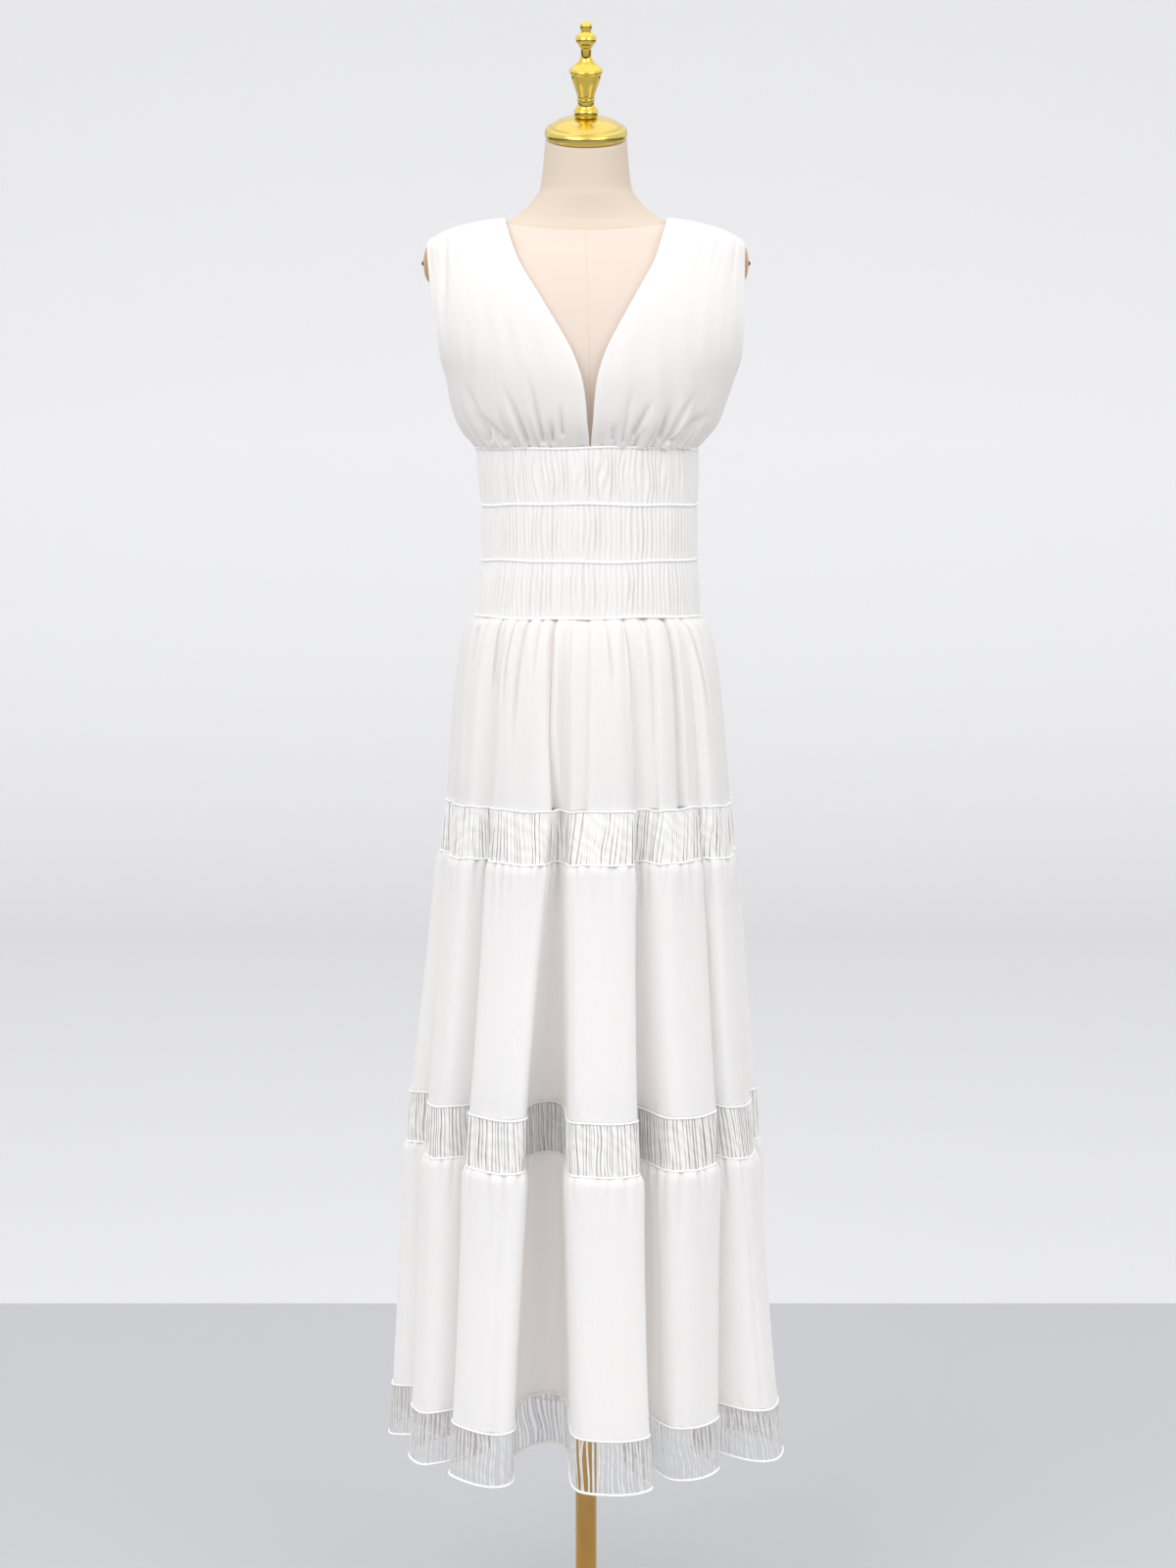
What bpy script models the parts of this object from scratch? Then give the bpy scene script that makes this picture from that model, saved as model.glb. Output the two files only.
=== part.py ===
"""Maxi dress on a limbless dress form.

A sleeveless dress with a deep V neck, a ribbed waistband and three gathered tiers parted
by open-work strips, standing on a torso with a turned finial, a pole and a round base.
Metres, +Z up, the front of the dress toward -Y, the origin on the floor under the pole.
"""

import math
from typing import Callable, NamedTuple, Sequence

import bmesh
import bpy
from mathutils import Matrix, Vector

# ---------------------------------------------------------------- driving dimensions
SEAM_GAP = 0.0003
CLOTH = 0.0016
TIER_WALL = 0.0020
NET = 0.0012

# Heights of the seams, from the waist down.
WAIST_TOP_Z = 1.378
WAIST_SEAM_2_Z = 1.3164
WAIST_SEAM_3_Z = 1.2546
WAIST_BOTTOM_Z = 1.1927
TIER_1_HEM_Z = 0.985
TIER_2_TOP_Z = 0.926
TIER_2_HEM_Z = 0.649
TIER_3_TOP_Z = 0.590
TIER_3_HEM_Z = 0.305
HEM_Z = 0.246

# Waistband: ribs over the three rows, and the cords between them.
RIB_COUNT = 126
RIB_HEIGHT = 0.0011
BAND_WALL = 0.0018
BAND_INNER_SIDES = 36
CORD_RADIUS = 0.0017
CORD_INSET = 0.0012
CORD_SIDES = 36
TIER_1_TOP_Z = WAIST_BOTTOM_Z - CORD_RADIUS - SEAM_GAP

# Skirt: columns to a broad fold, the gathers under each seam, how much higher a valley's hem
# lies than a ridge's, and how quickly the folds spread below the waist.
COLUMNS_PER_FOLD = 9
GATHER_HEIGHT = 0.0022
HEM_RISE = 0.014
SPREAD_EASE = 0.42

# Section of a broad fold: how far its shoulders and flanks stand out from the valley to the
# ridge, how far the flanks lie into the valley, and how far the valley's floor runs deeper.
SHOULDER_SHARE = 0.86
FLANK_SHARE = 0.38
FLANK_INSET = 0.18
FLOOR_SHARE = -0.20

# Columns of the skirt's side seams, which lie in the valleys at the wearer's sides.
SEAM_COLUMN_LEFT = 14
SEAM_COLUMN_RIGHT = 58

# Form and stand.
TORSO_SIDES = 28
NECK_TILT = math.radians(19.0)
FINIAL_SIDES = 14
CAP_SIDES = 24
CAP_RADIUS = 0.0457
CAP_HEIGHT = 0.0238
CAP_RIM_Z = 1.7196
PLATE_Z = 1.5830
PLATE_X = 0.1703
PLATE_SIDES = 20
PLATE_RISE = 0.0102
PLATE_HALF_DEPTH = 0.0185
PLATE_HALF_HEIGHT = 0.0215
KNOB_SIDES = 14
KNOB_RADIUS = 0.0026
KNOB_TIP_RADIUS = 0.0018
KNOB_LENGTH = 0.0018
POLE_RADIUS = 0.0120
POLE_SIDES = 20
SOCKET_SIDES = 18
SOCKET_HEIGHT = 0.050
BASE_SIDES = 40
BASE_RADIUS = 0.160
BASE_THICKNESS = 0.012

# Turned profiles as (radius, height), down their outer side.
FINIAL_PROFILE = (
    (0.0, 0.1046), (0.0054, 0.1026), (0.0067, 0.1003), (0.0062, 0.0973), (0.0054, 0.0935),
    (0.0086, 0.0905), (0.0116, 0.0854), (0.0096, 0.0806), (0.0060, 0.0765), (0.0062, 0.0654),
    (0.0186, 0.0524), (0.0187, 0.0497), (0.0126, 0.0327), (0.0094, 0.0220), (0.0090, 0.0144),
    (0.0133, 0.0072), (0.0133, 0.0015), (0.0116, 0.0), (0.0, 0.0),
)
# From the top: the dome, the groove round its foot and the bead of the rim.
CAP_PROFILE = (
    (0.0, CAP_HEIGHT), (0.0140, CAP_HEIGHT), (0.0235, 0.0222), (0.0320, 0.0190), (0.0385, 0.0152),
    (0.0410, 0.0128), (0.0446, 0.0114), (CAP_RADIUS, 0.0080), (CAP_RADIUS, 0.0040), (0.0432, 0.0),
    (0.0, 0.0),
)
SOCKET_PROFILE = (
    (0.0, SOCKET_HEIGHT), (0.0165, SOCKET_HEIGHT), (0.0180, 0.048), (0.0180, 0.012),
    (0.0240, 0.006), (0.0340, 0.004), (0.0340, 0.0), (0.0, 0.0),
)
BASE_PROFILE = (
    (0.0, BASE_THICKNESS), (0.1575, BASE_THICKNESS), (BASE_RADIUS, 0.0095), (BASE_RADIUS, 0.0),
    (0.0, 0.0),
)
# The arm plates' domes, as a share of the plate's half sizes and the height over its seat.
PLATE_DOME = ((1.0, 0.0), (1.0, 0.0030), (0.88, 0.0062), (0.60, 0.0088), (0.26, PLATE_RISE))


class Fold(NamedTuple):
    """One broad fold of the skirt. Angles run from the front (-Y) toward +X."""

    name: str
    angle_hip: float
    angle_knee: float
    angle_hem: float
    half_angle: float
    ridge_hip: float
    ridge_knee: float
    ridge_hem: float
    valley_hip: float
    valley_knee: float
    valley_hem: float
    tuck_knee: float = 0.0
    tuck_hem: float = 0.0


# The valley and tuck columns are those of the valley that follows the fold, toward +X. A tuck is
# the angle by which the valley's near flank runs back under the fold.
FOLDS = (
    Fold("back_left", -144, -144, -143, 12.5, 0.150, 0.188, 0.216, 0.136, 0.128, 0.122),
    Fold("side_left", -104, -104, -105, 13.0, 0.160, 0.206, 0.234, 0.146, 0.142, 0.150),
    Fold("front_left_outer", -67, -70, -68, 10.5, 0.153, 0.186, 0.211, 0.134, 0.124, 0.134),
    Fold("front_left", -31, -35, -37, 15.0, 0.146, 0.182, 0.209, 0.125, 0.088, 0.070, 20.0, 32.0),
    Fold("front", 7, 7, 9.3, 14.5, 0.1445, 0.183, 0.2135, 0.128, 0.110, 0.114, 6.0, 8.0),
    Fold("front_right", 44, 43, 42, 12.0, 0.149, 0.184, 0.194, 0.148, 0.150, 0.140),
    Fold("front_right_outer", 71, 72, 75, 12.0, 0.165, 0.190, 0.229, 0.152, 0.158, 0.162),
    Fold("side_right", 106, 107, 109, 12.0, 0.166, 0.201, 0.224, 0.146, 0.134, 0.128),
    Fold("back_right", 142, 142, 142, 12.5, 0.152, 0.190, 0.215, 0.134, 0.124, 0.116),
    Fold("back", 179, 179, 178, 12.5, 0.146, 0.184, 0.212, 0.134, 0.124, 0.118),
)


class BandSeam(NamedTuple):
    """A seam of the waistband: its height, and how far the ribs' crests reach around it."""

    z: float
    half_left: float
    half_right: float
    half_depth: float


BAND_SEAMS = (
    BandSeam(WAIST_TOP_Z, 0.1225, 0.1248, 0.0970),
    BandSeam(WAIST_SEAM_2_Z, 0.1160, 0.1240, 0.0962),
    BandSeam(WAIST_SEAM_3_Z, 0.1160, 0.1242, 0.0962),
    BandSeam(WAIST_BOTTOM_Z, 0.1235, 0.1275, 0.0985),
)
# How far each row swells out between its two cords.
ROW_SWELLS = (0.0008, 0.0004, 0.0010)


class TorsoRing(NamedTuple):
    """A level section of the form: an oval, squarer as its squareness falls below 1."""

    z: float
    half_left: float
    half_right: float
    front: float
    back: float
    squareness: float


TORSO_RINGS = (
    TorsoRing(0.9000, 0.1160, 0.1160, 0.0860, 0.0900, 1.0),
    TorsoRing(0.9180, 0.1260, 0.1280, 0.0950, 0.0990, 1.0),
    TorsoRing(0.9900, 0.1300, 0.1340, 0.0990, 0.1040, 1.0),
    TorsoRing(1.1000, 0.1240, 0.1280, 0.0980, 0.1010, 1.0),
    TorsoRing(1.1927, 0.1194, 0.1234, 0.0944, 0.0944, 1.0),
    TorsoRing(1.2546, 0.1119, 0.1201, 0.0921, 0.0921, 1.0),
    TorsoRing(1.3164, 0.1119, 0.1199, 0.0921, 0.0921, 1.0),
    TorsoRing(1.3780, 0.1184, 0.1207, 0.0929, 0.0929, 1.0),
    TorsoRing(1.4370, 0.1330, 0.1330, 0.1080, 0.0960, 0.92),
    TorsoRing(1.4800, 0.1450, 0.1450, 0.1130, 0.0990, 0.86),
    TorsoRing(1.5200, 0.1560, 0.1560, 0.1070, 0.1000, 0.86),
    TorsoRing(1.5500, 0.1655, 0.1655, 0.0980, 0.0980, 0.86),
    TorsoRing(1.5810, 0.1700, 0.1700, 0.0840, 0.0900, 0.86),
    TorsoRing(1.5980, 0.1670, 0.1670, 0.0740, 0.0820, 0.86),
    TorsoRing(1.6100, 0.1570, 0.1570, 0.0670, 0.0760, 0.86),
    TorsoRing(1.6180, 0.1380, 0.1380, 0.0620, 0.0720, 0.88),
    TorsoRing(1.6235, 0.1120, 0.1120, 0.0580, 0.0680, 0.90),
    TorsoRing(1.6290, 0.0880, 0.0880, 0.0540, 0.0640, 0.92),
    TorsoRing(1.6410, 0.0700, 0.0700, 0.0510, 0.0590, 0.96),
    TorsoRing(1.6550, 0.0570, 0.0570, 0.0490, 0.0540, 1.0),
    TorsoRing(1.6700, 0.0500, 0.0500, 0.0460, 0.0500, 1.0),
)
NECK_TOP = TorsoRing(1.7192, 0.0450, 0.0450, 0.0430, 0.0430, 1.0)


class BodiceRow(NamedTuple):
    """A level row of the bodice's outer face, from the shoulder down.

    The half widths are at the side seam or armhole, front_x and back_x the neck edges' distance
    from the centre line, and arm_angle where the row ends at the armhole or the side seam.
    """

    z: float
    half_left: float
    half_right: float
    front: float
    back: float
    front_x: float
    back_x: float
    arm_angle: float
    gather: float


BODICE_ROWS = (
    BodiceRow(1.6312, 0.0925, 0.0940, 0.060, 0.070, 0.0905, 0.0905, 90, 0.0000),
    BodiceRow(1.6280, 0.1190, 0.1200, 0.064, 0.074, 0.0890, 0.0880, 90, 0.0000),
    BodiceRow(1.6220, 0.1450, 0.1450, 0.068, 0.078, 0.0875, 0.0850, 90, 0.0006),
    BodiceRow(1.6140, 0.1640, 0.1640, 0.074, 0.083, 0.0850, 0.0800, 90, 0.0010),
    BodiceRow(1.6020, 0.1800, 0.1800, 0.083, 0.089, 0.0815, 0.0720, 75, 0.0016),
    BodiceRow(1.5790, 0.1840, 0.1850, 0.096, 0.097, 0.0730, 0.0590, 69, 0.0016),
    BodiceRow(1.5500, 0.1860, 0.1900, 0.109, 0.105, 0.0565, 0.0420, 64, 0.0012),
    BodiceRow(1.5170, 0.1820, 0.1910, 0.119, 0.107, 0.0375, 0.0200, 63, 0.0008),
    BodiceRow(1.4840, 0.1720, 0.1830, 0.124, 0.107, 0.0195, 0.0008, 68, 0.0008),
    BodiceRow(1.4550, 0.1570, 0.1665, 0.125, 0.106, 0.0085, 0.0008, 80, 0.0012),
    BodiceRow(1.4300, 0.1500, 0.1565, 0.121, 0.104, 0.0040, 0.0008, 90, 0.0016),
    BodiceRow(1.4080, 0.1420, 0.1480, 0.115, 0.103, 0.0025, 0.0008, 90, 0.0020),
    BodiceRow(1.3930, 0.1330, 0.1370, 0.107, 0.100, 0.0014, 0.0008, 90, 0.0018),
    BodiceRow(1.3800, 0.1225, 0.1250, 0.097, 0.0965, 0.0010, 0.0008, 90, 0.0010),
)
BODICE_SQUARENESS = 0.84
FRONT_COLUMNS = 15
BACK_COLUMNS = 9
# Half the gap at the side seams, and the least width of a row, both in degrees.
SIDE_SEAM_ANGLE = 0.07
LEAST_ROW_ANGLE = 6.0
# The neck's V leans toward +X between two heights, so its point lies off the centre line.
V_POINT_X = 0.0045
V_LEAN_TOP_Z = 1.602
V_LEAN_FOOT_Z = 1.430


class Finish(NamedTuple):
    """A plain surface: linear colour, roughness and metallic value."""

    colour: tuple
    roughness: float
    metallic: float


FINISHES = {
    "white_crepe": Finish((0.87, 0.85, 0.85, 1.0), 0.85, 0.0),
    "white_net": Finish((0.80, 0.78, 0.77, 1.0), 0.90, 0.0),
    "beige_jersey": Finish((0.88, 0.76, 0.66, 1.0), 0.85, 0.0),
    "tan_wood": Finish((0.55, 0.36, 0.20, 1.0), 0.45, 0.0),
    "polished_gold": Finish((0.90, 0.68, 0.28, 1.0), 0.15, 1.0),
    "brushed_gold": Finish((0.50, 0.37, 0.17, 1.0), 0.40, 1.0),
    "dark_metal": Finish((0.12, 0.09, 0.07, 1.0), 0.40, 1.0),
}


# ---------------------------------------------------------------- scene helpers
def clear_scene() -> None:
    """Remove every object that the scene starts with."""
    for item in list(bpy.data.objects):
        bpy.data.objects.remove(item, do_unlink=True)


def make_finish(name: str) -> bpy.types.Material:
    """Return the named Principled material, made on its first use."""
    material = bpy.data.materials.get(name)
    if material is None:
        finish = FINISHES[name]
        material = bpy.data.materials.new(name)
        material.use_nodes = True
        shader = material.node_tree.nodes["Principled BSDF"]
        shader.inputs["Base Color"].default_value = finish.colour
        shader.inputs["Roughness"].default_value = finish.roughness
        shader.inputs["Metallic"].default_value = finish.metallic
    return material


def place(item: bpy.types.Object, finish: str) -> bpy.types.Object:
    """Give an object its finish and put it in the dress's collection."""
    item.data.materials.clear()
    item.data.materials.append(make_finish(finish))
    for collection in list(item.users_collection):
        collection.objects.unlink(item)
    bpy.data.collections["maxi_dress_on_form"].objects.link(item)
    return item


def from_bmesh(name: str, shape: bmesh.types.BMesh, finish: str, crease: float = 40.0) -> bpy.types.Object:
    """Turn a bmesh into a placed object, smooth but for edges sharper than the crease angle."""
    mesh = bpy.data.meshes.new(name)
    shape.to_mesh(mesh)
    shape.free()
    mesh.shade_smooth()
    mesh.set_sharp_from_angle(angle=math.radians(crease))
    item = bpy.data.objects.new(name, mesh)
    bpy.context.scene.collection.objects.link(item)
    return place(item, finish)


def bridge(shape: bmesh.types.BMesh, upper: Sequence, lower: Sequence) -> None:
    """Join two closed rings, given counterclockwise from above, by an outward-facing band.

    The rings may differ in their number of points: the band steps along whichever is behind.
    """
    upper_count, lower_count = len(upper), len(lower)
    if upper_count == lower_count:
        for i in range(upper_count):
            j = (i + 1) % upper_count
            shape.faces.new((upper[i], lower[i], lower[j], upper[j]))
        return
    i = j = 0
    while i < upper_count or j < lower_count:
        step_upper = j == lower_count or (i < upper_count and (i + 0.5) * lower_count < (j + 0.5) * upper_count)
        if step_upper:
            shape.faces.new((upper[i], lower[j % lower_count], upper[(i + 1) % upper_count]))
            i += 1
        else:
            shape.faces.new((lower[j], lower[(j + 1) % lower_count], upper[i % upper_count]))
            j += 1


def tube_wall(name: str, outer: Sequence, inner: Sequence, finish: str) -> bpy.types.Object:
    """Build a closed wall from outer and inner rings, both listed from the top down."""
    shape = bmesh.new()
    outside = [[shape.verts.new(p) for p in ring] for ring in outer]
    inside = [[shape.verts.new(p) for p in ring] for ring in inner]
    for upper, lower in zip(outside, outside[1:]):
        bridge(shape, upper, lower)
    for upper, lower in zip(inside, inside[1:]):
        bridge(shape, lower, upper)
    bridge(shape, inside[0], outside[0])
    bridge(shape, outside[-1], inside[-1])
    return from_bmesh(name, shape, finish)


def panel_wall(name: str, outer: Sequence, inner: Sequence, finish: str) -> bpy.types.Object:
    """Build a closed wall from grids of outer and inner points, with its four edges closed.

    Rows run down and columns counterclockwise seen from above, so the faces look outward.
    """
    rows, columns = len(outer), len(outer[0])
    shape = bmesh.new()
    outside = [[shape.verts.new(p) for p in row] for row in outer]
    inside = [[shape.verts.new(p) for p in row] for row in inner]
    for r in range(rows - 1):
        for c in range(columns - 1):
            a, b = outside[r], outside[r + 1]
            shape.faces.new((a[c], b[c], b[c + 1], a[c + 1]))
            a, b = inside[r], inside[r + 1]
            shape.faces.new((a[c], a[c + 1], b[c + 1], b[c]))
    for c in range(columns - 1):
        shape.faces.new((outside[0][c], outside[0][c + 1], inside[0][c + 1], inside[0][c]))
        shape.faces.new((outside[-1][c + 1], outside[-1][c], inside[-1][c], inside[-1][c + 1]))
    for r in range(rows - 1):
        shape.faces.new((outside[r + 1][0], outside[r][0], inside[r][0], inside[r + 1][0]))
        shape.faces.new((outside[r][-1], outside[r + 1][-1], inside[r + 1][-1], inside[r][-1]))
    return from_bmesh(name, shape, finish)


def moved_in(grid: Sequence, thickness: float) -> list:
    """Return a grid's points moved in by the thickness, along normals from their neighbours."""
    rows, columns = len(grid), len(grid[0])
    inner = []
    for r in range(rows):
        above, below = max(r - 1, 0), min(r + 1, rows - 1)
        line = []
        for c in range(columns):
            before, after = max(c - 1, 0), min(c + 1, columns - 1)
            along = grid[r][after] - grid[r][before]
            down = grid[below][c] - grid[above][c]
            line.append(grid[r][c] - down.cross(along).normalized() * thickness)
        inner.append(line)
    return inner


def oval(left: float, right: float, front: float, back: float, angle: float, squareness: float) -> Vector:
    """Return the point of an oval section at an angle in radians from the front toward +X."""
    side, ahead = math.sin(angle), math.cos(angle)
    x = math.copysign(abs(side) ** squareness, side) * (right if side > 0 else left)
    y = -math.copysign(abs(ahead) ** squareness, ahead) * (front if ahead > 0 else back)
    return Vector((x, y, 0.0))


# ---------------------------------------------------------------- skirt
def blend(low: float, high: float, share: float) -> float:
    """Mix two values."""
    return low + (high - low) * share


def fold_at(fold: Fold, z: float) -> tuple:
    """Return a fold's angle, ridge reach, following valley reach and tuck at a height."""
    hip = (fold.angle_hip, fold.ridge_hip, fold.valley_hip, 0.0)
    knee = (fold.angle_knee, fold.ridge_knee, fold.valley_knee, fold.tuck_knee)
    hem = (fold.angle_hem, fold.ridge_hem, fold.valley_hem, fold.tuck_hem)
    if z >= TIER_2_HEM_Z:
        share = max(0.0, (TIER_1_HEM_Z - z) / (TIER_1_HEM_Z - TIER_2_HEM_Z))
        return tuple(blend(a, b, share) for a, b in zip(hip, knee))
    share = (TIER_2_HEM_Z - z) / (TIER_2_HEM_Z - HEM_Z)
    return tuple(blend(a, b, share) for a, b in zip(knee, hem))


def waist_reach(angle: float) -> float:
    """Return the reach from the axis of the waistband's lowest seam at an angle in degrees."""
    seam = BAND_SEAMS[-1]
    side, ahead = math.sin(math.radians(angle)), math.cos(math.radians(angle))
    half_width = seam.half_right if side > 0 else seam.half_left
    return 1.0 / math.hypot(side / half_width, ahead / seam.half_depth)


def fold_guides(z: float) -> list:
    """Return the plan's guide points at a height, seven for each broad fold.

    Each guide is (x, y, depth), where depth is 0 on a ridge and 1 in a valley. Above the hip the
    folds spread from the waistband, quickly at first.
    """
    spread = 1.0
    if z > TIER_1_HEM_Z:
        spread = max(0.0, (TIER_1_TOP_Z - z) / (TIER_1_TOP_Z - TIER_1_HEM_Z)) ** SPREAD_EASE
    folds = [fold_at(fold, z) for fold in FOLDS]
    guides = []
    for i, (angle, ridge, valley, tuck) in enumerate(folds):
        before = folds[i - 1][2]
        next_angle, next_ridge = folds[(i + 1) % len(folds)][:2]
        next_angle += 360.0 if next_angle < angle else 0.0
        half = FOLDS[i].half_angle
        next_half = FOLDS[(i + 1) % len(folds)].half_angle
        start, end = angle + half, next_angle - next_half
        inset = (end - start) * FLANK_INSET
        row = (
            (angle - half, before, ridge, SHOULDER_SHARE),
            (angle - half / 2, before, ridge, 1.0),
            (angle + half / 2, valley, ridge, 1.0),
            (start, valley, ridge, SHOULDER_SHARE),
            (start + inset - tuck, valley, ridge, FLANK_SHARE),
            ((start + end - tuck) / 2, valley, (ridge + next_ridge) / 2, FLOOR_SHARE),
            (end - inset, valley, next_ridge, FLANK_SHARE),
        )
        for turn, low, high, share in row:
            reach = blend(waist_reach(turn), blend(low, high, share), spread)
            side = math.radians(turn)
            guides.append((reach * math.sin(side), -reach * math.cos(side), (1.0 - share) * spread))
    return guides


def spline(guides: Sequence, u: float) -> tuple:
    """Return the closed uniform cubic B-spline's point and direction at a parameter."""
    count = len(guides)
    start = math.floor(u)
    t = u - start
    weights = ((1 - t) ** 3 / 6, (3 * t**3 - 6 * t**2 + 4) / 6, (-3 * t**3 + 3 * t**2 + 3 * t + 1) / 6, t**3 / 6)
    slopes = (-((1 - t) ** 2) / 2, (9 * t**2 - 12 * t) / 6, (-9 * t**2 + 6 * t + 3) / 6, t**2 / 2)
    near = [guides[(start + k - 1) % count] for k in range(4)]
    point = [sum(w * g[axis] for w, g in zip(weights, near)) for axis in range(3)]
    slope = [sum(w * g[axis] for w, g in zip(slopes, near)) for axis in range(3)]
    return point, slope


class SkirtLevel(NamedTuple):
    """A ring of the skirt: its height, the gathers' half height and how far it puffs out."""

    z: float
    gather: float
    puff: float


def skirt_row(level: SkirtLevel, columns: range, offset: float) -> list:
    """Return a row of the skirt from one side seam to the other, moved out by the offset.

    Ridges and valleys of the gathers take turns from one column to the next. The ends stop
    short of the side seams by half the seam's gap.
    """
    guides = fold_guides(level.z)
    count = COLUMNS_PER_FOLD * len(FOLDS)
    rise = HEM_RISE * (TIER_1_HEM_Z - level.z) / (TIER_1_HEM_Z - HEM_Z)
    row = []
    for column in columns:
        u = 1.5 + column * len(guides) / count
        (x, y, depth), (dx, dy, _) = spline(guides, u)
        length = math.hypot(dx, dy)
        along_x, along_y = dx / length, dy / length
        out = level.puff + offset + (level.gather if column % 2 else -level.gather)
        slide = SEAM_GAP / 2 * ((column == columns[0]) - (column == columns[-1]))
        lift = max(rise, 0.0) * depth
        row.append(Vector((
            x + along_y * out + along_x * slide,
            y - along_x * out + along_y * slide,
            level.z + lift,
        )))
    return row


def skirt_piece(name: str, levels: Sequence, thickness: float, finish: str) -> None:
    """Build the front and the back of a tier or a strip as walls of even thickness."""
    count = COLUMNS_PER_FOLD * len(FOLDS)
    halves = {
        "front": range(SEAM_COLUMN_LEFT, SEAM_COLUMN_RIGHT + 1),
        "back": range(SEAM_COLUMN_RIGHT, count + SEAM_COLUMN_LEFT + 1),
    }
    for half, columns in halves.items():
        outer = [skirt_row(level, columns, 0.0) for level in levels]
        inner = [skirt_row(level, columns, -thickness) for level in levels]
        panel_wall(f"{name}_{half}", outer, inner, finish)


def build_skirt() -> None:
    """Build the three tiers, the two strips between them and the strip at the hem.

    Each row gives a height, the gathers' share of their full height and the puff.
    """
    gap = SEAM_GAP / 2
    tiers = {
        "skirt_tier_1": (
            (TIER_1_TOP_Z, 0.5, 0.0006), (TIER_1_TOP_Z - 0.026, 1.0, 0.002), (1.110, 0.8, 0.001),
            (1.045, 0.5, 0.0), (TIER_1_HEM_Z + gap, 0.3, 0.0),
        ),
        "skirt_tier_2": (
            (TIER_2_TOP_Z - gap, 0.6, 0.0), (0.893, 1.0, 0.003), (0.785, 0.5, 0.001),
            (TIER_2_HEM_Z + gap, 0.3, 0.0),
        ),
        "skirt_tier_3": (
            (TIER_3_TOP_Z - gap, 0.6, 0.0), (0.557, 1.0, 0.003), (0.450, 0.5, 0.001),
            (TIER_3_HEM_Z + gap, 0.3, 0.0),
        ),
    }
    strips = {
        "insertion_1": ((TIER_1_HEM_Z - gap, 0.3, 0.0), (TIER_2_TOP_Z + gap, 0.6, 0.0)),
        "insertion_2": ((TIER_2_HEM_Z - gap, 0.3, 0.0), (TIER_3_TOP_Z + gap, 0.6, 0.0)),
        "hem_trim": ((TIER_3_HEM_Z - gap, 0.3, 0.0), (HEM_Z, 0.3, 0.0)),
    }
    for pieces, thickness, finish in ((tiers, TIER_WALL, "white_crepe"), (strips, NET, "white_net")):
        for name, rows in pieces.items():
            levels = [SkirtLevel(z, share * GATHER_HEIGHT, puff) for z, share, puff in rows]
            skirt_piece(name, levels, thickness, finish)


# ---------------------------------------------------------------- waistband
def band_ring(seam: BandSeam, z: float, out: float, sides: int, groove: float = 0.0) -> list:
    """Return a ring round the waist, counterclockwise from above, moved out from a seam's crests.

    Every other point is drawn in by the groove.
    """
    ring = []
    for i in range(sides):
        move = out - (groove if i % 2 else 0.0)
        depth = seam.half_depth + move
        point = oval(seam.half_left + move, seam.half_right + move, depth, depth, math.tau * i / sides, 1.0)
        ring.append(Vector((point.x, point.y, z)))
    return ring


def build_waistband() -> None:
    """Build the three ribbed rows, which swell between the four cords."""
    edge = CORD_RADIUS + SEAM_GAP
    inside = RIB_HEIGHT + BAND_WALL
    for number, (upper, lower, swell) in enumerate(zip(BAND_SEAMS, BAND_SEAMS[1:], ROW_SWELLS), 1):
        edges = ((upper, upper.z - edge), (lower, lower.z + edge))
        outer = [band_ring(seam, z, swell, 2 * RIB_COUNT, RIB_HEIGHT) for seam, z in edges]
        inner = [band_ring(seam, z, -inside, BAND_INNER_SIDES) for seam, z in edges]
        tube_wall(f"waist_row_{number}", outer, inner, "white_crepe")
    for number, seam in enumerate(BAND_SEAMS, 1):
        build_cord(f"waist_cord_{number}", seam)


def build_cord(name: str, seam: BandSeam) -> None:
    """Build a thin piping cord along a waist seam as a ring of triangular section."""
    shape = bmesh.new()
    section = ((CORD_RADIUS, 0.0), (-CORD_RADIUS / 2, CORD_RADIUS), (-CORD_RADIUS / 2, -CORD_RADIUS))
    crest, top, foot = (
        [shape.verts.new(p) for p in band_ring(seam, seam.z + up, out - CORD_INSET, CORD_SIDES)]
        for out, up in section
    )
    bridge(shape, crest, foot)
    bridge(shape, foot, top)
    bridge(shape, top, crest)
    from_bmesh(name, shape, "white_crepe", crease=100.0)


# ---------------------------------------------------------------- bodice
def bodice_point(row: BodiceRow, angle: float, shift: float) -> Vector:
    """Return a point of the bodice's outer face at an angle in degrees from the front."""
    point = oval(row.half_left, row.half_right, row.front, row.back, math.radians(angle), BODICE_SQUARENESS)
    return Vector((point.x + shift, point.y, row.z))


def neck_angle(half_width: float, distance: float) -> float:
    """Return the angle in degrees at which an oval row is the given distance from its centre."""
    share = min(distance / half_width, 1.0) ** (1 / BODICE_SQUARENESS)
    return math.degrees(math.asin(share))


def gathered(row: BodiceRow, point: Vector, column: int, fade: float) -> Vector:
    """Move a point in or out by the row's gathers, which take turns from column to column."""
    out = Vector((point.x, point.y, 0.0)).normalized()
    sign = 1.0 if column % 2 else -1.0
    return point + out * (row.gather * sign * fade)


def row_end(row: BodiceRow) -> float:
    """Return the angle in degrees at which a row stops at the armhole or short of the side seam."""
    return row.arm_angle - (SIDE_SEAM_ANGLE if row.arm_angle == 90 else 0.0)


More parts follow.
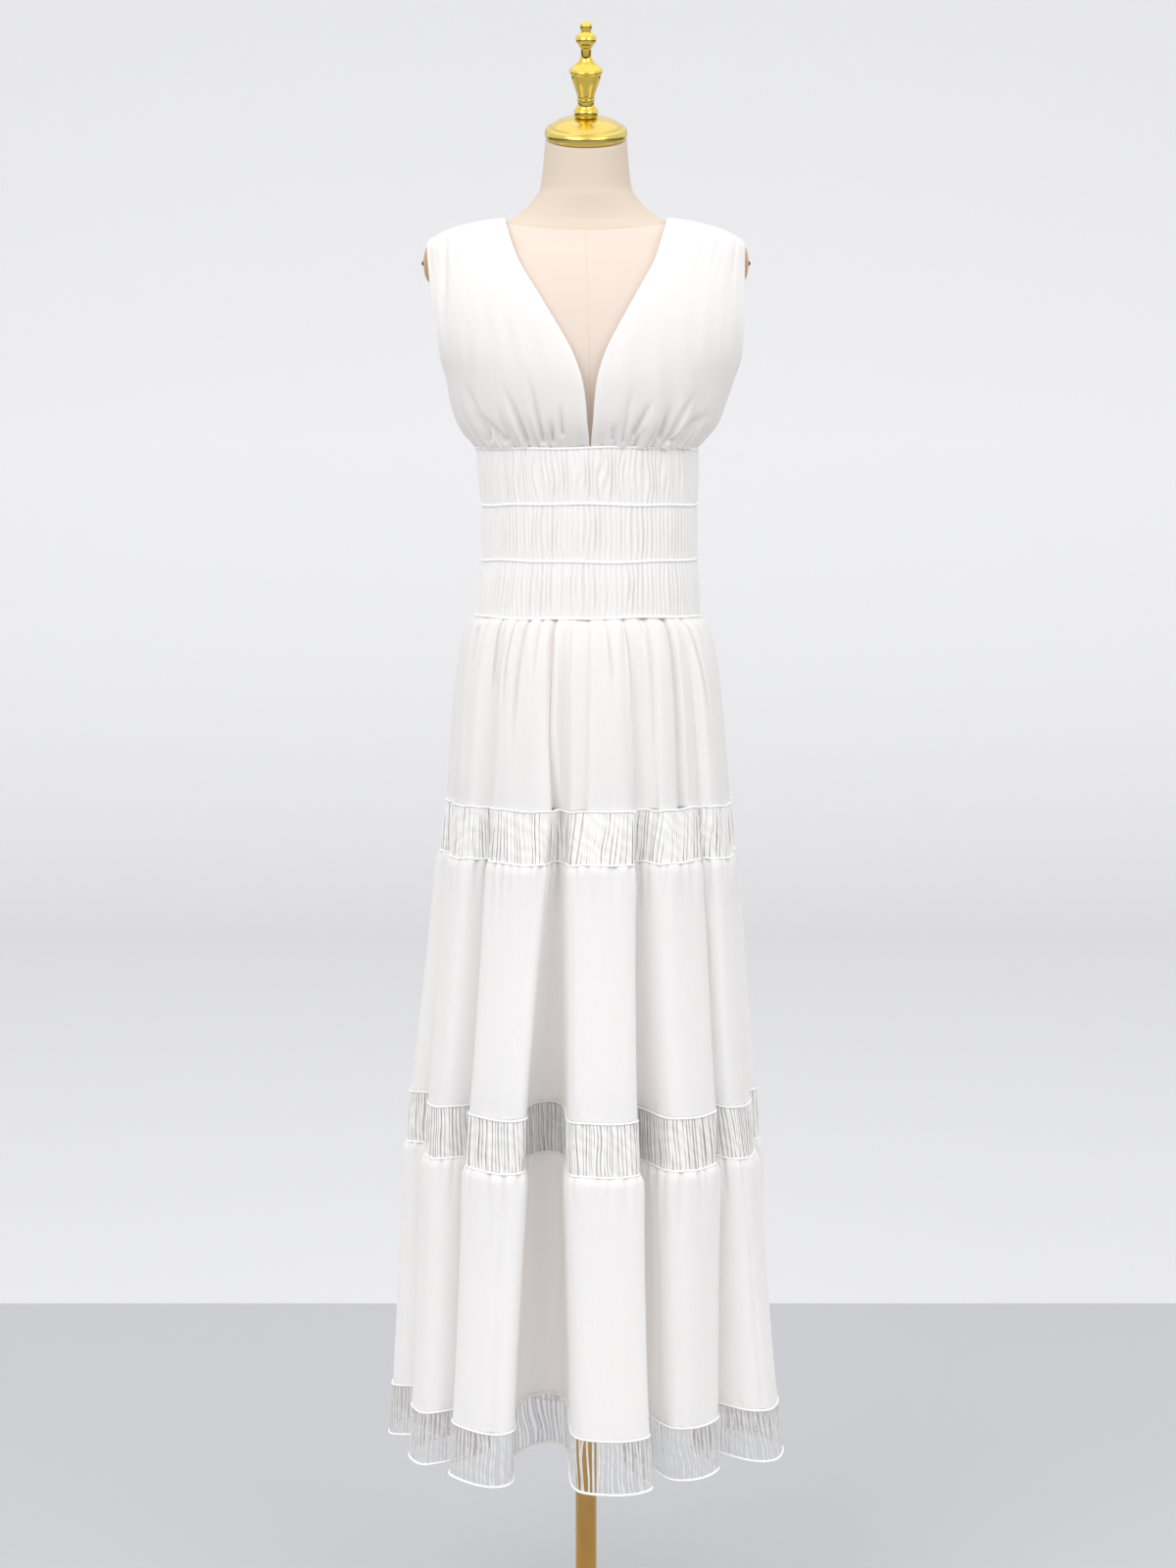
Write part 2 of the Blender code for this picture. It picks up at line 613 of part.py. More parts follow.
def front_grid(side: int) -> list:
    """Return the outer points of the front panel on one side, -1 for -X and +1 for +X."""
    grid = []
    for row in BODICE_ROWS:
        half_width = row.half_right if side > 0 else row.half_left
        start = min(neck_angle(half_width, row.front_x), row.arm_angle - LEAST_ROW_ANGLE)
        end = row_end(row)
        lean = (V_LEAN_TOP_Z - row.z) / (V_LEAN_TOP_Z - V_LEAN_FOOT_Z)
        shift = V_POINT_X * max(0.0, min(1.0, lean))
        line = []
        for c in range(FRONT_COLUMNS + 1):
            share = c / FRONT_COLUMNS
            angle = blend(start, end, share)
            ease = shift * (1 - share) ** 2
            point = bodice_point(row, side * angle, ease)
            fade = min(1.0, 4 * share, 4 * (1 - share))
            line.append(gathered(row, point, c, fade))
        grid.append(line if side > 0 else line[::-1])
    return grid


def back_grid(side: int) -> list:
    """Return the outer points of the back on one side, whose upper rows cut the back's V neck."""
    grid = []
    for row in BODICE_ROWS:
        half_width = row.half_right if side > 0 else row.half_left
        start = min(neck_angle(half_width, row.back_x), row.arm_angle - LEAST_ROW_ANGLE)
        angles = [180.0 - blend(row_end(row), start, c / BACK_COLUMNS) for c in range(BACK_COLUMNS + 1)]
        line = [bodice_point(row, side * angle, 0.0) for angle in angles]
        grid.append(line if side > 0 else line[::-1])
    return grid


def build_bodice() -> None:
    """Build the two front panels and the two halves of the back."""
    for name, side in (("left", -1), ("right", 1)):
        front, back = front_grid(side), back_grid(side)
        panel_wall(f"bodice_front_{name}", front, moved_in(front, CLOTH), "white_crepe")
        panel_wall(f"bodice_back_{name}", back, moved_in(back, CLOTH), "white_crepe")


# ---------------------------------------------------------------- form and stand
def loft(name: str, rings: Sequence, finish: str) -> bpy.types.Object:
    """Build a solid from closed rings listed from the bottom up, with flat ends."""
    shape = bmesh.new()
    made = [[shape.verts.new(p) for p in ring] for ring in rings]
    for lower, upper in zip(made, made[1:]):
        bridge(shape, upper, lower)
    shape.faces.new(made[-1])
    shape.faces.new(made[0][::-1])
    return from_bmesh(name, shape, finish)


def oval_ring(ring: TorsoRing, tilt: float = 0.0) -> list:
    """Return a torso section's points, counterclockwise from above, tilted down to the front."""
    points = []
    for i in range(TORSO_SIDES):
        turn = math.tau * i / TORSO_SIDES
        point = oval(ring.half_left, ring.half_right, ring.front, ring.back, turn, ring.squareness)
        points.append(Vector((point.x, point.y, ring.z + point.y * math.tan(tilt))))
    return points


def build_torso() -> None:
    """Build the torso, from the flat underside at the hip to the tilted neck."""
    rings = [oval_ring(ring) for ring in TORSO_RINGS]
    rings.append(oval_ring(NECK_TOP, NECK_TILT))
    loft("form_torso", rings, "beige_jersey")


def turned(
    name: str, profile: Sequence, finish: str, steps: int, foot: Sequence, tilt: float = 0.0
) -> bpy.types.Object:
    """Build a turned solid from (radius, height) pairs that run down its outer side.

    Its axis stands on the foot and leans toward the front by the tilt.
    """
    mesh = bpy.data.meshes.new(name)
    points = [(radius, 0.0, height) for radius, height in profile]
    mesh.from_pydata(points, [(i, i + 1) for i in range(len(points) - 1)], [])
    item = bpy.data.objects.new(name, mesh)
    item.location = foot
    item.rotation_euler = (tilt, 0.0, 0.0)
    bpy.context.scene.collection.objects.link(item)
    screw = item.modifiers.new("Turn", "SCREW")
    screw.axis = "Z"
    screw.steps = steps
    screw.render_steps = steps
    screw.use_merge_vertices = True
    screw.merge_threshold = 0.00001
    screw.use_smooth_shade = True
    return place(item, finish)


def build_neck_cap() -> None:
    """Build the shallow dome on the neck, square to the neck's tilted top."""
    turned("neck_cap", CAP_PROFILE, "polished_gold", CAP_SIDES, (0.0, 0.0, CAP_RIM_Z), NECK_TILT)


def build_finial() -> None:
    """Build the turned finial, square to the cap: a foot, a vase, a neck and a ball with a tip."""
    rise = CAP_HEIGHT + SEAM_GAP
    foot = (0.0, -rise * math.sin(NECK_TILT), CAP_RIM_Z + rise * math.cos(NECK_TILT))
    turned("finial", FINIAL_PROFILE, "polished_gold", FINIAL_SIDES, foot, NECK_TILT)


def build_arm_plates() -> None:
    """Build the domed oval plate and its small knob that close each arm of the form."""
    for name, side in (("left", -1), ("right", 1)):
        outward = Matrix.Rotation(side * math.radians(90), 4, "Y")
        seat = Matrix.Translation((side * PLATE_X, 0.0, PLATE_Z)) @ outward
        rings = []
        for share, rise in PLATE_DOME:
            ring = []
            for i in range(PLATE_SIDES):
                turn = math.tau * i / PLATE_SIDES
                along, across = PLATE_HALF_HEIGHT * math.cos(turn), PLATE_HALF_DEPTH * math.sin(turn)
                ring.append(seat @ Vector((share * along, share * across, rise)))
            rings.append(ring)
        loft(f"arm_plate_{name}", rings, "tan_wood")
        reach = PLATE_X + PLATE_RISE + SEAM_GAP + KNOB_LENGTH / 2
        shape = bmesh.new()
        bmesh.ops.create_cone(
            shape, cap_ends=True, segments=KNOB_SIDES, radius1=KNOB_RADIUS, radius2=KNOB_TIP_RADIUS,
            depth=KNOB_LENGTH, matrix=Matrix.Translation((side * reach, 0.0, PLATE_Z)) @ outward,
        )
        from_bmesh(f"arm_knob_{name}", shape, "dark_metal")


def build_stand() -> None:
    """Build the pole up to the torso, its socket and the round base plate."""
    socket_z = BASE_THICKNESS + SEAM_GAP
    pole_foot = socket_z + SOCKET_HEIGHT + SEAM_GAP
    pole_top = TORSO_RINGS[0].z - SEAM_GAP
    length = pole_top - pole_foot
    bpy.ops.mesh.primitive_cylinder_add(vertices=POLE_SIDES, radius=POLE_RADIUS, depth=length)
    pole = bpy.context.object
    pole.name = "pole"
    pole.location = (0.0, 0.0, (pole_top + pole_foot) / 2)
    pole.data.shade_smooth()
    place(pole, "brushed_gold")
    turned("base_socket", SOCKET_PROFILE, "brushed_gold", SOCKET_SIDES, (0.0, 0.0, socket_z))
    turned("base_plate", BASE_PROFILE, "brushed_gold", BASE_SIDES, (0.0, 0.0, 0.0))


def main() -> None:
    """Build the dress and its form."""
    clear_scene()
    collection = bpy.data.collections.new("maxi_dress_on_form")
    bpy.context.scene.collection.children.link(collection)
    builders: tuple[Callable[[], None], ...] = (
        build_torso, build_neck_cap, build_finial, build_arm_plates, build_stand,
        build_bodice, build_waistband, build_skirt,
    )
    for build in builders:
        build()


main()
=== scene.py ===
"""A sleeveless maxi dress on a limbless dress form, dressed over its solids.

The skirt hangs in ten broad folds that all three tiers and the open-work strips share. Metres,
+Z up, the dress's front toward -Y, angles in degrees from the front toward +X.
"""

import logging
import math
from dataclasses import dataclass
from enum import Enum
from typing import NamedTuple, Sequence

import bpy
import numpy as np
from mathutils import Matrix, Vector


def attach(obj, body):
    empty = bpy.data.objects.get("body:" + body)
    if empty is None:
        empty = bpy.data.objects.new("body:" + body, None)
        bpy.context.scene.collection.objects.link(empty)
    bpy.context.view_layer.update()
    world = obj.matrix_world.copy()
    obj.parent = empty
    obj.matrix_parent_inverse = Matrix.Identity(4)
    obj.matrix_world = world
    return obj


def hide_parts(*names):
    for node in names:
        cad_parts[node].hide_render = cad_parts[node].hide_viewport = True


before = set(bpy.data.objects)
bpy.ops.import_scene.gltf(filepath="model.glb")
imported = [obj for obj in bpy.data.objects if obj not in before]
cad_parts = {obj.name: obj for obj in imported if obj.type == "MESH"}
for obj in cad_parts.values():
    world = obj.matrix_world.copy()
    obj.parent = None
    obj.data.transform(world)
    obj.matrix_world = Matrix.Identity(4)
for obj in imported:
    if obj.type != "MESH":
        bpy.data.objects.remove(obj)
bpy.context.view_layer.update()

log = logging.getLogger("maxi_dress")

# ---------------------------------------------------------------- shared sizes
# Heights of the waistband's seams, the tiers' edges and the hem.
WAIST_TOP_Z = 1.378
WAIST_SEAM_2_Z = 1.3164
WAIST_SEAM_3_Z = 1.2546
WAIST_BOTTOM_Z = 1.1927
TIER_1_TOP_Z = 1.1907
TIER_1_HEM_Z = 0.985
TIER_2_TOP_Z = 0.926
TIER_2_HEM_Z = 0.649
TIER_3_TOP_Z = 0.590
TIER_3_HEM_Z = 0.305
HEM_Z = 0.246
# How far the hem rises in the valleys, and how soon below the waist the folds open: less is sooner.
HEM_RISE = 0.014
SPREAD_EASE = 0.42

# How far toward the ridge a fold's guide points lie at its shoulder, its flank and the valley's
# floor, and how far in from the valley's ends the flanks' guides stand, all as shares.
SHOULDER_SHARE = 0.86
FLANK_SHARE = 0.38
FLANK_INSET = 0.18
FLOOR_SHARE = -0.20
GUIDES_PER_FOLD = 7
# Place of the first fold's middle in guides, where every count round the skirt starts.
SKIRT_START = 1.5
# Parts of the skirt's round in which the side seams' places are counted.
SEAM_PARTS = 90

# The form: its neck leans forward by this tilt, and the cap and the finial with it.
NECK_TILT = math.radians(19.0)
CAP_RIM_Z = 1.7196
CAP_HEIGHT = 0.0238
PLATE_Z = 1.5830
PLATE_X = 0.1703
PLATE_RISE = 0.0102
POLE_RADIUS = 0.0120
BASE_THICKNESS = 0.012
SOCKET_HEIGHT = 0.050
# Pieces that are sewn or set on each other stand this far apart.
GAP = 0.0003


class Fold(NamedTuple):
    """A broad fold of the skirt at the hip, the knee and the hem."""

    angle_hip: float
    angle_knee: float
    angle_hem: float
    half_angle: float
    ridge_hip: float
    ridge_knee: float
    ridge_hem: float
    valley_hip: float
    valley_knee: float
    valley_hem: float
    tuck_hip: float = 0.0
    tuck_knee: float = 0.0
    tuck_hem: float = 0.0


# The valley and tuck columns are those of the valley that follows the fold, toward +X. A tuck is
# the angle by which the valley's near flank runs back under the fold.
FOLDS = (
    Fold(-144, -144, -143, 12.5, 0.150, 0.188, 0.216, 0.136, 0.128, 0.122),
    Fold(-104, -104, -105, 13.0, 0.160, 0.206, 0.234, 0.146, 0.142, 0.150),
    Fold(-67, -70, -68, 10.5, 0.153, 0.186, 0.211, 0.134, 0.124, 0.134),
    Fold(-31, -35, -37, 15.0, 0.146, 0.182, 0.209, 0.125, 0.088, 0.070, 0.0, 20.0, 32.0),
    Fold(7, 7, 9.3, 14.5, 0.1445, 0.183, 0.2135, 0.128, 0.110, 0.114, 0.0, 6.0, 8.0),
    Fold(44, 43, 42, 12.0, 0.149, 0.184, 0.194, 0.148, 0.150, 0.140),
    Fold(71, 72, 75, 12.0, 0.165, 0.190, 0.229, 0.152, 0.158, 0.162),
    Fold(106, 107, 109, 12.0, 0.166, 0.201, 0.224, 0.146, 0.134, 0.128),
    Fold(142, 142, 142, 12.5, 0.152, 0.190, 0.215, 0.134, 0.124, 0.116),
    Fold(179, 179, 178, 12.5, 0.146, 0.184, 0.212, 0.134, 0.124, 0.118),
)


class BandSeam(NamedTuple):
    """A seam of the waistband and how far the ribs' crests reach around it."""

    z: float
    half_left: float
    half_right: float
    half_depth: float


BAND_SEAMS = (
    BandSeam(WAIST_TOP_Z, 0.1225, 0.1248, 0.0970),
    BandSeam(WAIST_SEAM_2_Z, 0.1160, 0.1240, 0.0962),
    BandSeam(WAIST_SEAM_3_Z, 0.1160, 0.1242, 0.0962),
    BandSeam(WAIST_BOTTOM_Z, 0.1235, 0.1275, 0.0985),
)

# z, half_left, half_right, front, back, squareness of the form's level sections.
TORSO_RINGS = (
    (0.9000, 0.1160, 0.1160, 0.0860, 0.0900, 1.00),
    (0.9180, 0.1260, 0.1280, 0.0950, 0.0990, 1.00),
    (0.9900, 0.1300, 0.1340, 0.0990, 0.1040, 1.00),
    (1.1000, 0.1240, 0.1280, 0.0980, 0.1010, 1.00),
    (1.1927, 0.1194, 0.1234, 0.0944, 0.0944, 1.00),
    (1.2546, 0.1119, 0.1201, 0.0921, 0.0921, 1.00),
    (1.3164, 0.1119, 0.1199, 0.0921, 0.0921, 1.00),
    (1.3780, 0.1184, 0.1207, 0.0929, 0.0929, 1.00),
    (1.4370, 0.1330, 0.1330, 0.1080, 0.0960, 0.92),
    (1.4800, 0.1450, 0.1450, 0.1130, 0.0990, 0.86),
    (1.5200, 0.1560, 0.1560, 0.1070, 0.1000, 0.86),
    (1.5500, 0.1655, 0.1655, 0.0980, 0.0980, 0.86),
    (1.5810, 0.1700, 0.1700, 0.0840, 0.0900, 0.86),
    (1.5980, 0.1670, 0.1670, 0.0740, 0.0820, 0.86),
    (1.6100, 0.1570, 0.1570, 0.0670, 0.0760, 0.86),
    (1.6180, 0.1380, 0.1380, 0.0620, 0.0720, 0.88),
    (1.6235, 0.1120, 0.1120, 0.0580, 0.0680, 0.90),
    (1.6290, 0.0880, 0.0880, 0.0540, 0.0640, 0.92),
    (1.6410, 0.0700, 0.0700, 0.0510, 0.0590, 0.96),
    (1.6550, 0.0570, 0.0570, 0.0490, 0.0540, 1.00),
    (1.6700, 0.0500, 0.0500, 0.0460, 0.0500, 1.00),
    (1.7192, 0.0450, 0.0450, 0.0430, 0.0430, 1.00),
)

# z, half_left, half_right, front, back, front_x, back_x, arm_angle of the bodice's rows.
BODICE_ROWS = (
    (1.6312, 0.0925, 0.0940, 0.060, 0.070, 0.0905, 0.0905, 90),
    (1.6280, 0.1190, 0.1200, 0.064, 0.074, 0.0890, 0.0880, 90),
    (1.6220, 0.1450, 0.1450, 0.068, 0.078, 0.0875, 0.0850, 90),
    (1.6140, 0.1640, 0.1640, 0.074, 0.083, 0.0850, 0.0800, 90),
    (1.6020, 0.1800, 0.1800, 0.083, 0.089, 0.0815, 0.0720, 75),
    (1.5790, 0.1840, 0.1850, 0.096, 0.097, 0.0730, 0.0590, 69),
    (1.5500, 0.1860, 0.1900, 0.109, 0.105, 0.0565, 0.0420, 64),
    (1.5170, 0.1820, 0.1910, 0.119, 0.107, 0.0375, 0.0200, 63),
    (1.4840, 0.1720, 0.1830, 0.124, 0.107, 0.0195, 0.0008, 68),
    (1.4550, 0.1570, 0.1665, 0.125, 0.106, 0.0092, 0.0008, 80),
    (1.4300, 0.1500, 0.1565, 0.121, 0.104, 0.0052, 0.0008, 90),
    (1.4080, 0.1420, 0.1480, 0.115, 0.103, 0.0036, 0.0008, 90),
    (1.3930, 0.1330, 0.1370, 0.107, 0.100, 0.0020, 0.0008, 90),
    (1.3800, 0.1225, 0.1250, 0.097, 0.0965, 0.0010, 0.0008, 90),
)
BODICE_SQUARENESS = 0.84
# The V's foot stands this far toward +X, and its edges lean there between these heights.
V_POINT_X = 0.0045
V_LEAN_TOP_Z = 1.602
V_LEAN_FOOT_Z = 1.430


class Side(Enum):
    """The dress's two sides, seen from its front."""

    LEFT = -1
    RIGHT = 1


class Half(Enum):
    """The two panels of a tier or a strip, with their side seams' places in seam parts."""

    FRONT = (14, 58)
    BACK = (58, 104)


# ---------------------------------------------------------------- small tools
def linear(hex_colour: str) -> tuple:
    """Turn an sRGB hex colour to linear red, green, blue and alpha.

    Args:
        hex_colour: Six hex digits.

    Returns:
        Four floats for a shader socket.
    """
    values = [int(hex_colour[i : i + 2], 16) / 255 for i in (0, 2, 4)]
    return tuple(v / 12.92 if v <= 0.04045 else ((v + 0.055) / 1.055) ** 2.4 for v in values) + (1.0,)


def add_node(tree: bpy.types.NodeTree, kind: str, settings: dict | None = None,
             links: dict | None = None) -> bpy.types.Node:
    """Add a shader node.

    Args:
        tree: The node tree that gets it.
        kind: The node's type.
        settings: Values by socket name, socket number or attribute name; attributes come first.
        links: Output sockets by the name or number of the input they feed.

    Returns:
        The new node.
    """
    node = tree.nodes.new(kind)
    for name, value in (settings or {}).items():
        if isinstance(name, int) or name in node.inputs:
            node.inputs[name].default_value = value
        else:
            setattr(node, name, value)
    for name, output in (links or {}).items():
        tree.links.new(output, node.inputs[name])
    return node


def start_material(name: str) -> tuple:
    """Start a material with an empty node tree.

    Args:
        name: The material's name.

    Returns:
        The material, its node tree and the coordinates on the piece in metres.
    """
    material = bpy.data.materials.new(name)
    material.use_nodes = True
    tree = material.node_tree
    tree.nodes.clear()
    return material, tree, add_node(tree, "ShaderNodeTexCoord").outputs["Object"]


def smooth_step(share: np.ndarray) -> np.ndarray:
    """Ease a share from 0 to 1."""
    share = np.clip(share, 0.0, 1.0)
    return share * share * (3.0 - 2.0 * share)


def read_table(table: Sequence, at: np.ndarray) -> np.ndarray:
    """Read a table between its rows, along smooth curves through them.

    Args:
        table: Rows of numbers.
        at: Fractional row numbers.

    Returns:
        One row of numbers for each place.
    """
    rows = np.array(table, float)
    last = len(rows) - 1
    start = np.clip(np.floor(at).astype(int), 0, last - 1)
    t = (at - start)[:, None]
    a, b = rows[np.maximum(start - 1, 0)], rows[start]
    c, d = rows[start + 1], rows[np.minimum(start + 2, last)]
    return b + 0.5 * t * (c - a + t * (2 * a - 5 * b + 4 * c - d + t * (3 * (b - c) + d - a)))


def grid_faces(rows: int, columns: int, closed: bool = False, first: int = 0) -> np.ndarray:
    """Return a grid's quads, facing out where rows run down and columns counterclockwise.

    Args:
        rows: Number of rows of points.
        columns: Number of columns of points.
        closed: True joins the last column to the first.
        first: Number of the grid's first point.

    Returns:
        An array of four point numbers a face.
    """
    r = np.arange(rows - 1)[:, None] * columns
    c = np.arange(columns if closed else columns - 1)[None, :]
    after = (c + 1) % columns
    corners = (r + c, r + columns + c, r + columns + after, r + after)
    return np.stack(corners, axis=-1).reshape(-1, 4) + first


def outward(points: np.ndarray, closed: bool = False) -> np.ndarray:
    """Return the outward normal at each point of a grid.

    Args:
        points: Rows by columns by 3.
        closed: True where the last column's neighbour is the first.

    Returns:
        Unit normals in the same shape.
    """
    if closed:
        across = np.roll(points, -1, axis=1) - np.roll(points, 1, axis=1)
    else:
        across = np.gradient(points, axis=1)
    normal = np.cross(np.gradient(points, axis=0), across)
    return normal / np.maximum(np.linalg.norm(normal, axis=2, keepdims=True), 1e-9)


def oval(left: np.ndarray, right: np.ndarray, front: np.ndarray, back: np.ndarray,
         turn: np.ndarray, squareness: np.ndarray) -> tuple:
    """Return x and y of an oval section.

    Args:
        left: Half width toward -X.
        right: Half width toward +X.
        front: Depth toward -Y.
        back: Depth toward +Y.
        turn: Angle in radians from the front toward +X.
        squareness: 1 for an ellipse, less for a squarer oval.

    Returns:
        Arrays of x and y.
    """
    side, ahead = np.sin(turn), np.cos(turn)
    x = np.sign(side) * np.abs(side) ** squareness * np.where(side > 0, right, left)
    y = -np.sign(ahead) * np.abs(ahead) ** squareness * np.where(ahead > 0, front, back)
    return x, y


@dataclass
class Mould:
    """Points and faces gathered for one piece."""

    points: list
    faces: list
    count: int = 0

    @classmethod
    def empty(cls) -> "Mould":
        """Return a mould with nothing in it."""
        return cls([], [])

    def add_grid(self, points: np.ndarray, closed: bool = False) -> None:
        """Add a grid.

        Args:
            points: Rows by columns by 3.
            closed: True joins the last column to the first.
        """
        rows, columns = points.shape[:2]
        self.faces.append(grid_faces(rows, columns, closed, self.count))
        self.points.append(points.reshape(-1, 3))
        self.count += rows * columns

    def add_tubes(self, points: np.ndarray) -> None:
        """Add many open tubes at once.

        Args:
            points: Tubes by stations by sides by 3.
        """
        tubes, stations, sides = points.shape[:3]
        one = grid_faces(stations, sides, True)
        starts = self.count + np.arange(tubes)[:, None, None] * stations * sides
        self.faces.append((one[None] + starts).reshape(-1, 4))
        self.points.append(points.reshape(-1, 3))
        self.count += tubes * stations * sides

    def add_ring_tube(self, points: np.ndarray) -> None:
        """Add one tube that closes on itself.

        Args:
            points: Stations by sides by 3.
        """
        stations, sides = points.shape[:2]
        faces = grid_faces(stations + 1, sides, True) % (stations * sides)
        self.faces.append(faces + self.count)
        self.points.append(points.reshape(-1, 3))
        self.count += stations * sides

    def cast(self, name: str, finish: bpy.types.Material, slot: str,
             nodes: Sequence = ()) -> bpy.types.Object:
        """Make the piece.

        Args:
            name: The piece's name.
            finish: Its material.
            slot: The record's material slot. Not used.
            nodes: The solids that it stands for.

        Returns:
            The new object, riding on the part's one body.
        """
        mesh = bpy.data.meshes.new(name)
        mesh.from_pydata(np.concatenate(self.points).tolist(), [], np.concatenate(self.faces).tolist())
        mesh.validate()
        mesh.shade_smooth()
        mesh.materials.append(finish)
        piece = bpy.data.objects.new(name, mesh)
        bpy.context.scene.collection.objects.link(piece)
        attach(piece, "root")
        if nodes:
            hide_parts(*nodes)
        log.info("%s: %d faces", name, len(mesh.polygons))
        return piece


# ---------------------------------------------------------------- finishes
@dataclass(frozen=True)
class Crepe:
    """Polyester georgette, a thin crepe of tight-twisted yarns: matt, pebbled, a little see-through."""

    name: str = "polyester_georgette"
    face: str = "FBFBFC"
    shade: str = "F5F5F6"
    glow: str = "FEF9F3"
    see_through: float = 0.34
    # Crepe pebbles are about 0.5 mm; drawn at 1.4 mm so that they show.
    pebble: float = 0.0014
    # Slubs, the uneven yarns that run down the cloth, are 3 mm across and drawn out along Z.
    slub: float = 0.003
    slub_drawn: tuple = (1.0, 1.0, 0.08)
    # How much a slub stands out, beside a pebble.
    slub_height: float = 0.45

    def make(self) -> bpy.types.Material:
        """Return the material: a dull face whose twisted yarns scatter light and let some through."""
        material, tree, place = start_material(self.name)
        drawn = add_node(tree, "ShaderNodeMapping", {"Scale": self.slub_drawn}, {"Vector": place})
        pebbles = add_node(
            tree, "ShaderNodeTexNoise", {"Scale": 1 / self.pebble, "Detail": 3.0, "Roughness": 0.6},
            {"Vector": place},
        )
        slubs = add_node(
            tree, "ShaderNodeTexNoise", {"Scale": 1 / self.slub, "Detail": 2.0},
            {"Vector": drawn.outputs["Vector"]},
        )
        height = add_node(
            tree, "ShaderNodeMath", {"operation": "MULTIPLY_ADD", 1: self.slub_height},
            {0: slubs.outputs["Fac"], 2: pebbles.outputs["Fac"]},
        )
        grain = add_node(
            tree, "ShaderNodeBump", {"Strength": 0.22, "Distance": 0.0004},
            {"Height": height.outputs["Value"]},
        )
        tone = add_node(
            tree, "ShaderNodeMix", {"data_type": "RGBA", 6: linear(self.face), 7: linear(self.shade)},
            {0: slubs.outputs["Fac"]},
        )
        face = add_node(
            tree, "ShaderNodeBsdfPrincipled",
            {"Roughness": 0.88, "Specular IOR Level": 0.25, "Sheen Weight": 0.18, "Sheen Roughness": 0.55},
            {"Base Color": tone.outputs[2], "Normal": grain.outputs["Normal"]},
        )
        glow = add_node(tree, "ShaderNodeBsdfTranslucent", {"Color": linear(self.glow)})
        cloth = add_node(
            tree, "ShaderNodeMixShader", {0: self.see_through}, {1: face.outputs[0], 2: glow.outputs[0]}
        )
        add_node(tree, "ShaderNodeOutputMaterial", links={"Surface": cloth.outputs[0]})
        return material


@dataclass(frozen=True)
class Thread:
    """Twisted polyester floss: soft white, with the faint spiral of its ply."""

    name: str = "twisted_polyester_floss"
    face: str = "FCFBF9"
    # The groove colour is painted shade, darker where the ply's bands sink.
    groove_shade: str = "F4F2EF"
    see_through: float = 0.15
    glow: str = "FCFAF7"
    # One turn of the ply is 1.2 mm long; its slanted bands are drawn 20 mm long, at 32 to each 0.63 m,
    # because finer bands break up into dots.
    bands: float = 32.0

    def make(self) -> bpy.types.Material:
        """Return the material: a dull strand with slanted bands that catch the light, darkened in their
        grooves by painted shade.
        """
        material, tree, place = start_material(self.name)
        turns = add_node(
            tree, "ShaderNodeTexWave",
            {"wave_type": "BANDS", "bands_direction": "DIAGONAL", "Scale": self.bands, "Distortion": 7.0},
            {"Vector": place},
        )
        twist = add_node(
            tree, "ShaderNodeBump", {"Strength": 0.3, "Distance": 0.0003}, {"Height": turns.outputs["Fac"]}
        )
        # Painted shade: the colour turns to the groove colour where the bands' bump sinks.
        tone = add_node(
            tree, "ShaderNodeMix", {"data_type": "RGBA", 6: linear(self.groove_shade), 7: linear(self.face)},
            {0: turns.outputs["Fac"]},
        )
        face = add_node(
            tree, "ShaderNodeBsdfPrincipled",
            {"Roughness": 0.7, "Specular IOR Level": 0.35, "Sheen Weight": 0.1},
            {"Base Color": tone.outputs[2], "Normal": twist.outputs["Normal"]},
        )
        glow = add_node(tree, "ShaderNodeBsdfTranslucent", {"Color": linear(self.glow)})
        strand = add_node(
            tree, "ShaderNodeMixShader", {0: self.see_through}, {1: face.outputs[0], 2: glow.outputs[0]}
        )
        add_node(tree, "ShaderNodeOutputMaterial", links={"Surface": strand.outputs[0]})
        return material


